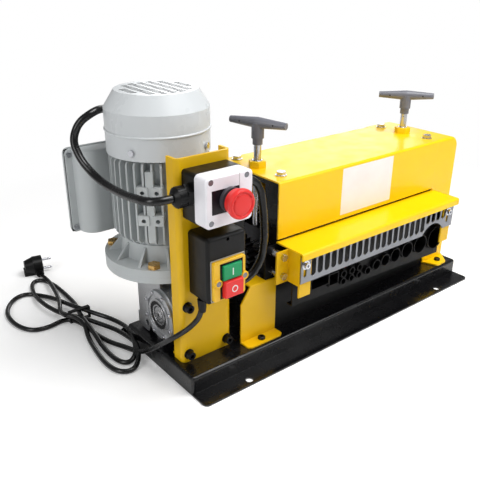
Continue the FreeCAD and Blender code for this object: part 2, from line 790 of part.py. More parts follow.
def spindle_parts():
    """Worm, motor spindle, rotor core and cooling fan on one axis."""
    low = d.wheel_height - 34
    top = cowl_low + 48
    spindle = rod("spindle_bar", d.spindle_radius, top - low, (*axis, low))
    worm = rod("worm_bar", d.worm_radius, 52, (*axis, d.wheel_height - 26))
    grooves = []
    for turn in range(6):
        groove = doc.addObject("Part::Torus", "worm_groove")
        bind(groove, Radius1=d.worm_radius + 1.2, Radius2=2.4)
        grooves.append(put(groove, *axis, d.wheel_height - 20 + turn * 8))
    core = rod("rotor_core", d.rotor_radius, d.motor_body_height - 24, (*axis, shield_top + 12))
    piece("motor_spindle", fuse("spindle_solid", spindle, cut("worm_cut", worm, *grooves), core))
    hub_low = cowl_low + 26
    hub = rod("fan_hub", 18, 20, (*axis, hub_low))
    web = rod("fan_web", d.fan_radius, 2, (*axis, hub_low))
    blades = [hub, web]
    for turn in range(9):
        degrees = 40 * turn
        angle = math.radians(degrees)
        blade = doc.addObject("Part::Box", "fan_blade")
        bind(blade, Length=d.fan_radius - 16, Width=2, Height=22)
        blade.Placement = FreeCAD.Placement(V(), FreeCAD.Rotation(V(0, 0, 1), degrees))
        blades.append(put(blade, axis[0] + 15 * math.cos(angle), axis[1] + 15 * math.sin(angle), hub_low))
    bore = rod("fan_bore", d.spindle_radius, 40, (*axis, hub_low - 1))
    piece("cooling_fan", cut("fan_body", fuse("fan_solid", *blades), bore))
    seat = rod("drive_seat", d.spindle_radius + 8.5, 8, (*axis, d.adaptor_top + 2))
    hole = rod("drive_bore", d.spindle_radius + d.journal_gap, 12, (*axis, d.adaptor_top))
    BEARINGS.append(cut("drive_bearing", seat, hole))


input_flange()
drive_end_shield()
flange_bolts()
finned_body()
fan_cowl()
cowl_screws()
tail_shield()
stator()
spindle_parts()


# ---------------------------------------------------------------- capacitor box
def capacitor_box():
    """Cast box behind the motor, D-shaped from above, closed by a lid on its back."""
    x, half = d.box_x, d.box_width / 2
    low, high = d.box_low, d.box_low + d.box_height
    casting = body("box_body")
    shape = sketch(casting, "box_shape", "xy", low)
    rectangle(shape, (x - half + d.box_step, x + half - d.box_step), (box_front, lid_seat))
    pad(casting, shape, d.box_height)
    fillet(casting, "box_rounds", d.box_round,
           lambda e: runs_along(e, "z") and near(middle(e).y, box_front))
    fillet(casting, "box_edges", 3, lambda e: near(middle(e).y, box_front, 20) and not runs_along(e, "z")
           and not near(middle(e).y, lid_seat))
    rim = sketch(casting, "box_rim", "xz", lid_seat)
    rectangle(rim, (x - half, x + half), (low, high))
    pad(casting, rim, rim_thick)
    fillet(casting, "rim_corners", 8,
           lambda e: runs_along(e, "y") and near(abs(middle(e).x - number(x)), half))
    room = sketch(casting, "box_room", "xz", lid_seat)
    wall = d.box_step + d.box_wall
    rectangle(room, (x - half + wall, x + half - wall), (low + d.box_wall, high - d.box_wall))
    pocket(casting, room, lid_seat - box_front - d.box_wall * 2)
    holes = [rod("box_hole", 2.5, 12, (at[0], lid_seat - 11, at[1]), "+y") for at in lid_screw_spots()]
    holes.append(rod("box_gland_hole", d.lead_radius, 20, (d.box_gland_x, d.box_gland_y, high - 10)))
    piece("capacitor_box", cut("capacitor_box_body", casting, *holes))
    lid = body("lid_body")
    plate = sketch(lid, "lid_shape", "xz", d.box_back)
    rectangle(plate, (x - half - 2, x + half + 2), (low - 2, high + 2))
    pad(lid, plate, d.lid_thick)
    fillet(lid, "lid_corners", 9, lambda e: runs_along(e, "y"))
    holes = sketch(lid, "lid_holes", "xz", d.box_back)
    for at in lid_screw_spots():
        disc(holes, at[0], at[1], 2.5)
    pocket(lid, holes, 20, symmetric=True)
    piece("capacitor_lid", lid)
    screws = []
    for at in lid_screw_spots():
        shank = rod("lid_shank", 2.5, d.lid_thick + rim_thick, (at[0], lid_seat - rim_thick, at[1]), "+y")
        head = rod("lid_head", 4.2, 3, (at[0], lid_seat - rim_thick, at[1]), "-y")
        screws.append(fuse("lid_screw", shank, head))
    piece("motor_screws", group("motor_screw_set", *MOTOR_SCREWS, *screws))
    at = (d.box_gland_x, d.box_gland_y)
    nut = hexagon("box_gland_hex", 20, 7, (*at, high))
    dome = cone("box_gland_dome", 9.5, 7.5, 9, (*at, high + 7))
    bore = rod("box_gland_bore", d.lead_radius, 30, (*at, high - 5))
    GLANDS.append(cut("box_gland", fuse("box_gland_solid", nut, dome), bore))


lid_seat = d.box_back - d.lid_thick
rim_thick = 4


def lid_screw_spots():
    """Places of the four lid screws, in X and Z."""
    across, up = d.box_width / 2 - 5, d.box_height / 2 - 8
    for side_x in (-1, 1):
        for side_z in (-1, 1):
            yield (d.box_x + side_x * across, d.box_low + d.box_height / 2 + side_z * up)


capacitor_box()


# ---------------------------------------------------------------- roller unit
left_plate = (d.plate_left, d.plate_left + d.plate_thick)
right_plate = (d.plate_right, d.plate_right + d.plate_thick)
upper_height = d.wheel_height + d.roller_centres
shaft_radius = d.shaft_bore / 2
bush_radius = shaft_radius + 4
slot_ends = (d.slot_y - d.slot_width / 2, d.slot_y + d.slot_width / 2)
bar_top = d.cover_top - d.sheet


def side_plate(label, x):
    """Upright plate with a bearing hole below and an open slot for the sliding block."""
    plate = body(label + "_body")
    face = sketch(plate, label + "_face", "yz", x[0])
    rectangle(face, (d.plate_front, d.plate_back), (d.tray_height, d.plate_top))
    pad(plate, face, d.plate_thick)
    slot = sketch(plate, label + "_slot", "yz", x[0])
    rectangle(slot, slot_ends, (d.slot_bottom, d.plate_top + 5))
    pocket(plate, slot, 3 * d.plate_thick, symmetric=True)
    fillet(plate, label + "_slot_corners", 3,
           lambda e: runs_along(e, "x") and near(middle(e).z, d.slot_bottom))
    hole = sketch(plate, label + "_hole", "yz", x[0])
    disc(hole, wheel_y, d.wheel_height, bush_radius)
    pocket(plate, hole, 3 * d.plate_thick, symmetric=True)
    piece(label, plate)


def roller_frame():
    bushes, bars = [], []
    for label, x in (("left_side_plate", left_plate), ("right_side_plate", right_plate)):
        side_plate(label, x)
        outer = rod("bush_outer", bush_radius, d.plate_thick, (x[0], wheel_y, d.wheel_height), "+x")
        inner = rod("bush_inner", shaft_radius + d.journal_gap, d.plate_thick + 2,
                    (x[0] - 1, wheel_y, d.wheel_height), "+x")
        bushes.append(cut("bush", outer, inner))
        bar = box("bar", x, (d.plate_front + 2, d.plate_back - 2), (d.plate_top, bar_top))
        middle_x = (x[0] + x[1]) / 2
        hole = rod("bar_hole", d.screw_radius + clear, 40, (middle_x, d.screw_y, d.plate_top - 5))
        holes = [hole]
        for y in cover_bolt_places():
            holes.append(rod("bar_thread", d.cover_bolt, 40, (middle_x, y, d.plate_top - 5)))
        bars.append(cut("screw_bar", bar, *holes))
    piece("shaft_bearings", group("bearing_set", *BEARINGS, *bushes))
    piece("screw_bars", group("bar_pair", *bars))


def cover_bolt_places():
    return (d.plate_front + 22, d.plate_back - 15)


def sliding_blocks():
    """Bearing blocks that carry the upper shaft and slide in the side plates."""
    low = upper_height - 26
    blocks = []
    for label, x in (("left_block", left_plate), ("right_block", right_plate)):
        block = box(label + "_box", x, (slot_ends[0] + d.block_slack, slot_ends[1] - d.block_slack),
                    (low + d.block_slack, low + d.block_height))
        middle_x = (x[0] + x[1]) / 2
        bore = rod(label + "_bore", shaft_radius + d.journal_gap, 40,
                   (x[0] - 5, wheel_y, upper_height), "+x")
        seat = rod(label + "_seat", d.screw_radius + d.block_slack, 20,
                   (middle_x, d.screw_y, low + d.block_height - d.screw_seat))
        edge = chamfered(label + "_edges", block, 2, lambda e: runs_along(e, "x"))
        blocks.append(cut(label + "_solid", edge, bore, seat))
    piece("sliding_blocks", group("block_pair", *blocks))


def tooth_angle(radius, pitch, teeth):
    """Half the angle that an involute tooth fills at a radius."""
    base = pitch * math.cos(math.radians(20))

    def involute(r):
        pressure = math.acos(min(1, base / r))
        return math.tan(pressure) - pressure

    half = math.pi / (2 * teeth) - number(d.backlash) / (2 * pitch)
    return half + involute(pitch) - involute(max(radius, base))


def gear(label, height, half_pitch):
    """Spur gear, one involute tooth repeated by a pattern."""
    wheel = body(label + "_body")
    teeth = 20
    pitch = d.gear_module * (teeth / 2)
    root = pitch - d.gear_module * 1.25
    blank = sketch(wheel, label + "_blank", "yz", d.gear_x)
    disc(blank, 0, 0, root)
    pad(wheel, blank, d.gear_width)
    tooth = sketch(wheel, label + "_tooth", "yz", d.gear_x)
    turn = math.radians(9) * half_pitch
    flank = []
    for step in (-1.4, -0.6, 0, 0.5, 1.0):
        radius = pitch + d.gear_module * step
        flank.append((radius, tooth_angle(number(radius), number(pitch), teeth)))
    points = [(r * math.cos(turn - a), r * math.sin(turn - a)) for r, a in flank]
    points.extend((r * math.cos(turn + a), r * math.sin(turn + a)) for r, a in reversed(flank))
    loop(tooth, points)
    first = pad(wheel, tooth, d.gear_width)
    ring_of = wheel.newObject("PartDesign::PolarPattern", label + "_teeth")
    ring_of.Originals = [first]
    ring_of.Axis = ([item for item in wheel.Origin.OriginFeatures if item.Role == "X_Axis"][0], [""])
    ring_of.Angle = 360
    ring_of.Occurrences = teeth
    wheel.Tip = ring_of
    bore = sketch(wheel, label + "_bore", "yz", d.gear_x)
    disc(bore, 0, 0, shaft_radius)
    pocket(wheel, bore, 200, symmetric=True)
    put(wheel, 0, wheel_y, height)
    piece(label, wheel)


station_x = [-73, -43, -20, 12, 35, 58, 82, 109, 140, 179, 224]


def rollers():
    """Driven lower shaft with feed wheels, upper shaft with slitting blades."""
    start = d.bracket_x - d.hub_width / 2 + 1.5
    end = right_plate[1] + 2
    lower_bar = rod("lower_shaft_bar", shaft_radius, end - start, (start, wheel_y, d.wheel_height), "+x")
    hollow = rod("wheel_quill", hollow_shaft, d.hub_width - 3, (start, wheel_y, d.wheel_height), "+x")
    disc_radius = d.worm_centres - d.worm_radius - d.mesh_gap
    crown = rod("wheel_crown", disc_radius, 24, (d.bracket_x - 12, wheel_y, d.wheel_height), "+x")
    crown = chamfered("wheel_crown_edges", crown, 3, lambda e: True)
    bore = rod("wheel_bore", shaft_radius, 200, (d.bracket_x - 100, wheel_y, d.wheel_height), "+x")
    piece("worm_wheel", cut("worm_wheel_body", fuse("worm_wheel_solid", hollow, crown), bore))
    wheels, blades, sleeves = [], [], []
    feed = d.roller_centres - d.blade_radius - d.mesh_gap
    for x in station_x:
        outer = rod("feed_outer", feed, 12, (x - 6, wheel_y, d.wheel_height), "+x")
        outer = chamfered("feed_edges", outer, 1.5, lambda e: e.Length > 50)
        inner = rod("feed_inner", shaft_radius, 30, (x - 15, wheel_y, d.wheel_height), "+x")
        wheels.append(cut("feed_wheel", outer, inner))
        at = (x - d.blade_thick / 2, wheel_y, upper_height)
        blade = rod("blade_outer", d.blade_radius, d.blade_thick, at, "+x")
        blade = chamfered("blade_bevel", blade, 1.3, lambda e: e.Length > 50)
        inner = rod("blade_inner", shaft_radius, 30, (x - 15, wheel_y, upper_height), "+x")
        blades.append(cut("blade", blade, inner))
    spots = [left_plate[1] + 1] + station_x + [right_plate[0] - 1]
    for index in range(len(spots) - 1):
        low = spots[index] + (d.blade_thick / 2 if index else 0)
        high = spots[index + 1] - (d.blade_thick / 2 if index < len(spots) - 2 else 0)
        outer = rod("sleeve_outer", shaft_radius + 5, high - low, (low, wheel_y, upper_height), "+x")
        inner = rod("sleeve_inner", shaft_radius, high - low + 2, (low - 1, wheel_y, upper_height), "+x")
        sleeves.append(cut("sleeve", outer, inner))
    piece("lower_shaft", fuse("lower_shaft_body", lower_bar, *wheels))
    piece("slitting_blades", group("blade_set", *blades))
    start = d.gear_x - 3
    upper_bar = rod("upper_shaft_bar", shaft_radius, end - start, (start, wheel_y, upper_height), "+x")
    piece("upper_shaft", fuse("upper_shaft_body", upper_bar, *sleeves))
    gear("lower_gear", d.wheel_height, 0)
    gear("upper_gear", upper_height, 1)


roller_frame()
sliding_blocks()
rollers()


def handle(label, x, turn):
    """Adjusting screw with its T-handle; the bar tapers to both ends."""
    hub_low = d.cover_top + d.handle_lift
    bar_height = hub_low + d.handle_rise
    low = upper_height - 26 + d.block_height - d.screw_seat + d.block_slack
    screw = rod(label + "_screw", d.screw_radius, hub_low + 4 - low, (x, d.screw_y, low))
    piece(label + "_screw", screw)
    parts = [
        rod(label + "_hub", d.handle_hub, d.handle_rise, (x, d.screw_y, hub_low)),
        rod(label + "_collar", d.handle_collar, d.collar_height + 1,
            (x, d.screw_y, hub_low - d.collar_height)),
    ]
    for side in (0, 180):
        arm = doc.addObject("Part::Cone", label + "_arm")
        bind(arm, Radius1=d.handle_middle, Radius2=d.handle_end, Height=d.handle_length / 2)
        angle = FreeCAD.Rotation(V(0, 0, 1), turn + side) * FreeCAD.Rotation(V(0, 1, 0), 90)
        arm.Placement = FreeCAD.Placement(V(), angle)
        parts.append(put(arm, x, d.screw_y, bar_height))
    solid = fuse(label + "_handle_solid", *parts)
    socket = rod(label + "_socket", d.screw_radius, hub_low + 4, (x, d.screw_y, 0))
    piece(label + "_handle", cut(label + "_handle_body", solid, socket))


def screws_and_nuts():
    nuts, bolts = [], []
    for label, x, turn in (("left", left_plate, -70.5), ("right", right_plate, -49.4)):
        middle_x = (x[0] + x[1]) / 2
        handle(label, middle_x, turn)
        nut = hexagon("nut", 24, 10, (middle_x, d.screw_y, d.cover_top))
        hole = rod("nut_hole", d.screw_radius + clear, 20, (middle_x, d.screw_y, d.cover_top - 5))
        nuts.append(cut("lock_nut", nut, hole))
        for y in cover_bolt_places():
            at = (middle_x, y, d.cover_top)
            bolts.append(bolt("cover_bolt", at, "+z", d.cover_bolt, 14, 13, 5.3, 9, 1.6))
    COVER_SCREWS.extend(nuts + bolts)


screws_and_nuts()


# ---------------------------------------------------------------- covers
def channel(label, x, profile, outer, inner):
    """Folded sheet: a profile in Y and Z swept along X; outer and inner bend lists."""
    sheet_body = body(label + "_body")
    shape = sketch(sheet_body, label + "_profile", "yz", x[0])
    loop(shape, profile)
    pad(sheet_body, shape, x[1] - x[0])
    for name, corners, radius in (("outer", outer, d.sheet + 1.5), ("inner", inner, as_size(1.5))):
        fillet(sheet_body, label + "_" + name, radius, at_corners(corners))
    return sheet_body


def at_corners(corners):
    def chosen(edge):
        spot = middle(edge)
        return runs_along(edge, "x") and any(near(spot.y, y) and near(spot.z, z) for y, z in corners)
    return chosen


def main_cover():
    front, back, top, low = d.cover_front, d.cover_back, d.cover_top, d.panel_bottom
    thick = d.sheet
    cover = channel("main_cover", (d.cover_left, d.panel_right), [
        (front, low), (front + thick, low), (front + thick, top - thick), (back - thick, top - thick),
        (back - thick, d.tray_height), (back, d.tray_height), (back, top), (front, top),
    ], [(front, top), (back, top)], [(front + thick, top - thick), (back - thick, top - thick)])
    holes = sketch(cover, "main_cover_holes", "xy", top)
    disc(holes, (left_plate[0] + left_plate[1]) / 2, d.screw_y, d.screw_radius + clear)
    for y in cover_bolt_places():
        disc(holes, (left_plate[0] + left_plate[1]) / 2, y, d.cover_bolt)
    pocket(cover, holes, 20, symmetric=True)
    notch = sketch(cover, "main_cover_notch", "xy", top)
    rectangle(notch, (d.top_seam, d.panel_right + 5), (seam_front, back + 5))
    pocket(cover, notch, top)
    piece("main_cover", cover)


seam_front = d.cover_front + 6


def end_cover():
    """Box-shaped end of the cover, open to the left, with a foot tab on the tray."""
    front, back = d.plate_front - d.sheet, d.cover_back
    x, z = (d.panel_right, d.cover_right), (d.tray_height, d.cover_top)
    thick = d.sheet
    outer = box("end_block", x, (front, back), z)
    strip = box("end_strip", (d.top_seam, x[0] + 5), (seam_front, back), z)
    inner = box("end_room", (d.top_seam - 5, x[1] - thick), (front + thick, back - thick),
                (z[0] - 5, z[1] - thick))
    outer = rounded("end_top", outer, d.end_radius, top_right(d.cover_right, d.cover_top))
    outer = rounded("end_front", outer, 5, front_edges(front))
    inner = rounded("end_room_top", inner, d.end_radius - thick,
                    top_right(d.cover_right - thick, d.cover_top - thick))
    inner = rounded("end_room_front", inner, 5 - thick, front_edges(front + thick))
    tab = body("foot_tab")
    shape = sketch(tab, "foot_tab_shape", "xy", d.tray_height)
    left, right = d.panel_right + 0.5, d.cover_right - 1
    tip = front - d.tab_reach
    loop(shape, [(left, front + 1), (left, front), (left + 13, tip), (left + 41, tip + 2),
                 (right, front), (right, front + 1)])
    pad(tab, shape, thick)
    fillet(tab, "foot_tab_corners", 9, lambda e: runs_along(e, "z") and middle(e).y < number(front) - 5)
    shell = cut("end_cover_shell", fuse("end_cover_outside", outer, strip), inner)
    solid = fuse("end_cover_solid", shell, tab)
    middle_x = (right_plate[0] + right_plate[1]) / 2
    tools = [rod("end_screw_hole", d.screw_radius + clear, 30, (middle_x, d.screw_y, z[1] - 15)),
             rod("tab_hole", 3, 10, (d.tab_bolt_x, front - d.tab_bolt_y, d.tray_height - 3))]
    for y in cover_bolt_places():
        tools.append(rod("end_bolt_hole", d.cover_bolt, 30, (middle_x, y, z[1] - 15)))
    piece("end_cover", cut("end_cover_body", solid, *tools))


def top_right(x, z):
    return lambda e: runs_along(e, "y") and near(middle(e).x, x) and near(middle(e).z, z)


def front_edges(y):
    return lambda e: near(middle(e).y, y) and middle(e).x > number(d.panel_right) + 5 and middle(e).z > 40


def lower_hood():
    """Flat hood with a lip folded down along its front."""
    front, top, thick = d.hood_front, d.hood_top, d.sheet
    outer = front - thick
    hood = channel("lower_hood", (d.cover_left, d.hood_right), [
        (outer, top - d.hood_lip), (front, top - d.hood_lip), (front, top - thick),
        (d.plate_front, top - thick), (d.plate_front, top), (outer, top),
    ], [(outer, top)], [(front, top - thick)])
    notch = sketch(hood, "hood_notch", "xy", top)
    rectangle(notch, (d.panel_right - 0.5, d.hood_right + 5), (d.cover_front - 0.5, d.plate_front + 5))
    pocket(hood, notch, 20, symmetric=True)
    piece("lower_hood", hood)


def left_wing():
    """Z-shaped bracket: front flange, web, and a back flange bolted on spacers."""
    thick = d.sheet
    x = d.cover_left
    back = d.wing_face + thick
    bracket = wing_body("left_wing", d.left_bottom, comb_screw_x[0], [
        (x, wing_front), (x + d.flange_strip, wing_front), (x + d.flange_strip, wing_front + thick),
        (x + thick, wing_front + thick), (x + thick, back), (x - d.wing_width, back),
        (x - d.wing_width, d.wing_face), (x, d.wing_face),
    ], (x - d.wing_width - 1, x + thick + 1), back + 1)
    holes = sketch(bracket, "wing_holes", "xz", d.wing_face)
    for hole_x, hole_z in wing_bolt_spots():
        disc(holes, hole_x, hole_z, 3)
    pocket(bracket, holes, 20, symmetric=True)
    piece("left_wing", bracket)


def right_wing():
    """C-shaped bracket: front flange, web, and a flange on the front plate."""
    thick = d.sheet
    x = d.right_web
    back = plate_face
    bracket = wing_body("right_wing", d.right_bottom, comb_screw_x[1], [
        (x, wing_front), (x - d.flange_strip, wing_front), (x - d.flange_strip, wing_front + thick),
        (x - thick, wing_front + thick), (x - thick, back - thick), (x - d.wing_width, back - thick),
        (x - d.wing_width, back), (x, back),
    ], (x - d.wing_width - 1, x + 1), back + 1)
    bore_x, bore_radius, bore_z = BORES[-1]
    around = rod("tube_notch", bore_radius + d.tube_wall + clear, 60, (bore_x, d.tube_front, bore_z), "+y")
    piece("right_wing", cut("right_wing_notched", bracket, around))


def wing_body(label, low, screw_x, section, step_x, step_y):
    """Bent section stood upright; the web and the back flange start higher than the front."""
    bracket = body(label + "_body")
    shape = sketch(bracket, label + "_section", "xy", low)
    loop(shape, section)
    pad(bracket, shape, wing_top - low)
    step = sketch(bracket, label + "_step", "xy", low)
    rectangle(step, step_x, (wing_front + d.sheet, step_y))
    pocket(bracket, step, d.wing_step, reverse=True)
    hole = sketch(bracket, label + "_hole", "xz", wing_front)
    disc(hole, screw_x, comb_screw_z, 2.5)
    pocket(bracket, hole, d.sheet * 4, symmetric=True)
    return bracket


# cable openings: round ones as X, radius, Z; flat ones as X from and to, Z from and to
BORES = ((36, 6, 98), (58, 8.5, 102.5), (81, 10, 104.5), (108, 12, 106), (141, 14, 107),
         (179, 16.5, 108), (224, 21, 108.5))
FLATS = ((-99, -61, 106, 122), (-58.5, -39, 100, 119))
SMALL = ((-25, 5), (-5, 5), (14, 5))
SMALL_LEVELS = (97, 111)


def guide_tools(front, depth, grow=0):
    """Solids of the cable openings, grown for the tube walls."""
    tools = []
    for x, radius, z in BORES:
        tools.append(rod("guide_bore", radius + grow, depth, (x, front, z), "+y"))
    for left, right, low, high in FLATS:
        tools.append(box("guide_flat", (left - grow, right + grow), (front, front + depth),
                         (low - grow, high + grow)))
    for x, radius in SMALL:
        for z in SMALL_LEVELS:
            tools.append(rod("guide_small", radius + grow, depth, (x, front, z), "+y"))
    return tools


wing_front = d.comb_face + d.sheet
comb_screw_x = (d.comb_left + 8.5, d.comb_right - 17.5)
comb_screw_z = d.comb_bottom + 31
wing_top = d.hood_top - d.sheet
plate_face = d.plate_front - 3


def wing_bolt_spots():
    high = wing_top - 10
    left = d.cover_left - 10.4
    return ((left, high), (left, high - 32))


main_cover()
end_cover()
lower_hood()
left_wing()
right_wing()


def at_tray_bolt(name, x, y, seat):
    """Round-headed bolt down into the tray, through whatever lies on it."""
    low = d.tray_height - d.tray_sheet
    shank = rod(name + "_shank", 3, seat - low, (x, y, low))
    head = rod(name + "_head", 6, 4.5, (x, y, seat))
    key = hexagon(name + "_key", 5, 5, (x, y, as_size(seat) + 2))
    return cut(name, fuse(name + "_solid", shank, rounded(name + "_dome", head, 2, lambda e: e.Length > 20
                                                             and middle(e).z > number(seat) + 2)), key)


def tray_bolts():
    for x, y in tray_bolt_spots():
        SOCKET_SCREWS.append(at_tray_bolt("foot_bolt", x, y, d.tray_height + d.sheet))
    piece("socket_screws", group("socket_screw_set", *SOCKET_SCREWS))


def comb_plate():
    """Slotted plate that slides up and down in front of the cable guide."""
    thick = 2.2
    comb = body("comb_body")
    face = sketch(comb, "comb_face_shape", "xz", d.comb_face + thick)
    rectangle(face, (d.comb_left, d.comb_right), (d.comb_bottom, d.comb_top))
    pad(comb, face, thick)
    arc = sketch(comb, "comb_arc", "xz", d.comb_face)
    disc(arc, 191.5, 115, 35)
    pocket(comb, arc, 20, symmetric=True)
    first_x = d.comb_left + 25.9
    comb_slots(comb, "long", first_x, 19, d.comb_bottom + 8)
    comb_slots(comb, "short", first_x + 19 * d.slot_pitch, 4, d.comb_bottom + 20)
    ends = sketch(comb, "comb_ends", "xz", d.comb_face)
    for x in comb_screw_x:
        obround(ends, x, d.comb_bottom + 10, d.comb_bottom + 36, 3.2)
    pocket(comb, ends, 20, symmetric=True)
    piece("comb_plate", comb)


def comb_slots(comb, name, x, count, low):
    """Row of equal upright slots."""
    slot = sketch(comb, name + "_slot", "xz", d.comb_face)
    obround(slot, x, low, d.comb_top - 5, d.comb_slot / 2)
    first = pocket(comb, slot, 20, symmetric=True)
    row = comb.newObject("PartDesign::LinearPattern", name + "_slots")
    row.Originals = [first]
    row.Direction = (slot, ["H_Axis"])
    row.Occurrences = count
    bind(row, Length=d.slot_pitch * (count - 1))
    comb.Tip = row


def obround(obj, x, low, high, radius):
    """Upright slot with round ends in a sketch."""
    r = number(radius)
    u, v0, v1 = number(x), number(low) + r, number(high) - r
    down, up = V(u, v0, 0), V(u, v1, 0)
    first = obj.GeometryCount
    obj.addGeometry(Part.ArcOfCircle(Part.Circle(down, V(0, 0, 1), r), math.pi, 2 * math.pi))
    obj.addGeometry(Part.LineSegment(down + V(r, 0, 0), up + V(r, 0, 0)))
    obj.addGeometry(Part.ArcOfCircle(Part.Circle(up, V(0, 0, 1), r), 0, math.pi))
    obj.addGeometry(Part.LineSegment(up - V(r, 0, 0), down - V(r, 0, 0)))
    for index in range(4):
        constrain(obj, "Tangent", first + index, 2, first + (index + 1) % 4, 1)
    hold(obj, first, 3, x, as_size(low) + radius)
    hold(obj, first + 2, 3, x, as_size(high) - radius)
    row = constrain(obj, "Radius", first, r)
    obj.setExpression("Constraints[%d]" % row, as_size(radius).text)


def comb_screws():
    screws = []
    for x in comb_screw_x:
        z = comb_screw_z
        seat = d.comb_face - d.slide_gap
        shank = rod("comb_shank", 2.5, 8, (x, seat, z), "+y")
        washer = rod("comb_washer", 7.5, 1.2, (x, seat, z), "-y")
        head = rod("comb_head", 5, 6.2, (x, seat, z), "-y")
        key = hexagon("comb_key", 4, 4, (x, seat - 3.5, z), "-y")
        screws.append(cut("comb_screw", fuse("comb_screw_solid", shank, washer, head), key))
    COVER_SCREWS.extend(screws)


def cable_guide():
    """Folded guide with a sloping lower edge, and the tubes behind it."""
    thick = d.sheet
    web = body("guide_body")
    face = sketch(web, "guide_face", "xz", d.guide_front + thick)
    left, right = d.cover_left + thick, d.right_web - thick
    loop(face, [(left, d.guide_bottom_left), (right, d.guide_bottom_right), (right, d.guide_top),
                (left, d.guide_top)])
    pad(web, face, thick)
    skirt = sketch(web, "guide_skirt", "xz", d.guide_front + 12)
    loop(skirt, [(left, d.guide_bottom_left), (right, d.guide_bottom_right),
                 (right, d.guide_bottom_right + thick), (left, d.guide_bottom_left + thick)])
    pad(web, skirt, 12)
    top = sketch(web, "guide_return", "xz", d.guide_front + 12)
    rectangle(top, (left, right), (d.guide_top - thick, d.guide_top))
    pad(web, top, 12)
    back = d.plate_front - 3
    outer = fuse("tube_outer", *guide_tools(d.tube_front, back - d.tube_front, d.tube_wall))
    piece("cable_guide", cut("cable_guide_body", fuse("cable_guide_solid", web, outer),
                             *guide_tools(d.tube_front - 5, 200)))
    front = box("front_sheet", (d.front_plate_left, d.right_web), (back, d.plate_front),
                (d.tray_height, d.front_plate_top))
    spacers = [rod("wing_hole", 3, 30, (x, back - 10, z), "+y") for x, z in wing_bolt_spots()]
    piece("front_plate", cut("front_plate_body", front, *guide_tools(back - 5, 30), *spacers))


def wing_bolts():
    """Hexagon bolts with spacers that hold the wings off the front plate."""
    bolts, spacers = [], []
    for x, z in wing_bolt_spots():
        back = d.plate_front - 3
        head = hexagon("wing_head", 10, 5, (x, d.wing_face, z), "-y")
        shank = rod("wing_shank", 3, d.plate_front - d.wing_face, (x, d.wing_face, z), "+y")
        face = d.wing_face + d.sheet
        outer = rod("spacer_outer", 6, back - face, (x, face, z), "+y")
        inner = rod("spacer_inner", 3, 60, (x, d.wing_face, z), "+y")
        bolts.append(fuse("wing_bolt", head, shank))
        spacers.append(cut("wing_spacer", outer, inner))
    piece("cover_screws", group("cover_screw_set", *COVER_SCREWS, *bolts, *spacers))


tray_bolts()
comb_plate()
comb_screws()
cable_guide()
wing_bolts()


# ---------------------------------------------------------------- gear guard
def gear_guard():
    """Folded guard over the gear mesh with a cut corner and a foot flange."""
    guard = body("guard_body")
    thick = d.sheet
    face, low = d.guard_face, d.tray_height
    x0, x1 = d.guard_left, d.guard_right
    front = sketch(guard, "guard_front", "xz", face + thick)
    step = x0 + 18
    loop(front, [(x0, low), (x1, low), (x1, d.guard_top), (step, d.guard_top),
                 (x0, d.guard_top - d.guard_cut)])
    pad(guard, front, thick)
    top = sketch(guard, "guard_roof", "xz", face + d.guard_depth)
    rectangle(top, (step, d.front_plate_left - 0.5), (d.guard_top - thick, d.guard_top))
    pad(guard, top, d.guard_depth)
    foot = sketch(guard, "guard_foot_shape", "xy", low)
    loop(foot, [(x0, face + 1), (x0, face - d.guard_foot + 4), (x0 + 6, face - d.guard_foot),
                (x1 - 6, face - d.guard_foot), (x1, face - d.guard_foot + 4), (x1, face + 1)])
    pad(guard, foot, thick)
    hole = sketch(guard, "guard_hole", "xy", low)
    disc(hole, d.guard_bolt_x, face - 10, 3)
    pocket(guard, hole, 12, symmetric=True)
    fillet(guard, "guard_bend", 2.4, lambda e: runs_along(e, "x") and near(middle(e).y, face)
           and near(middle(e).z, d.guard_top))
    piece("gear_guard", guard)


gear_guard()


# ---------------------------------------------------------------- emergency stop
stop_high = d.bracket_height + d.stop_over
stop_low = stop_high - d.stop_height
stop_x = (d.stop_left + d.stop_right) / 2
stop_z = stop_high - d.button_drop


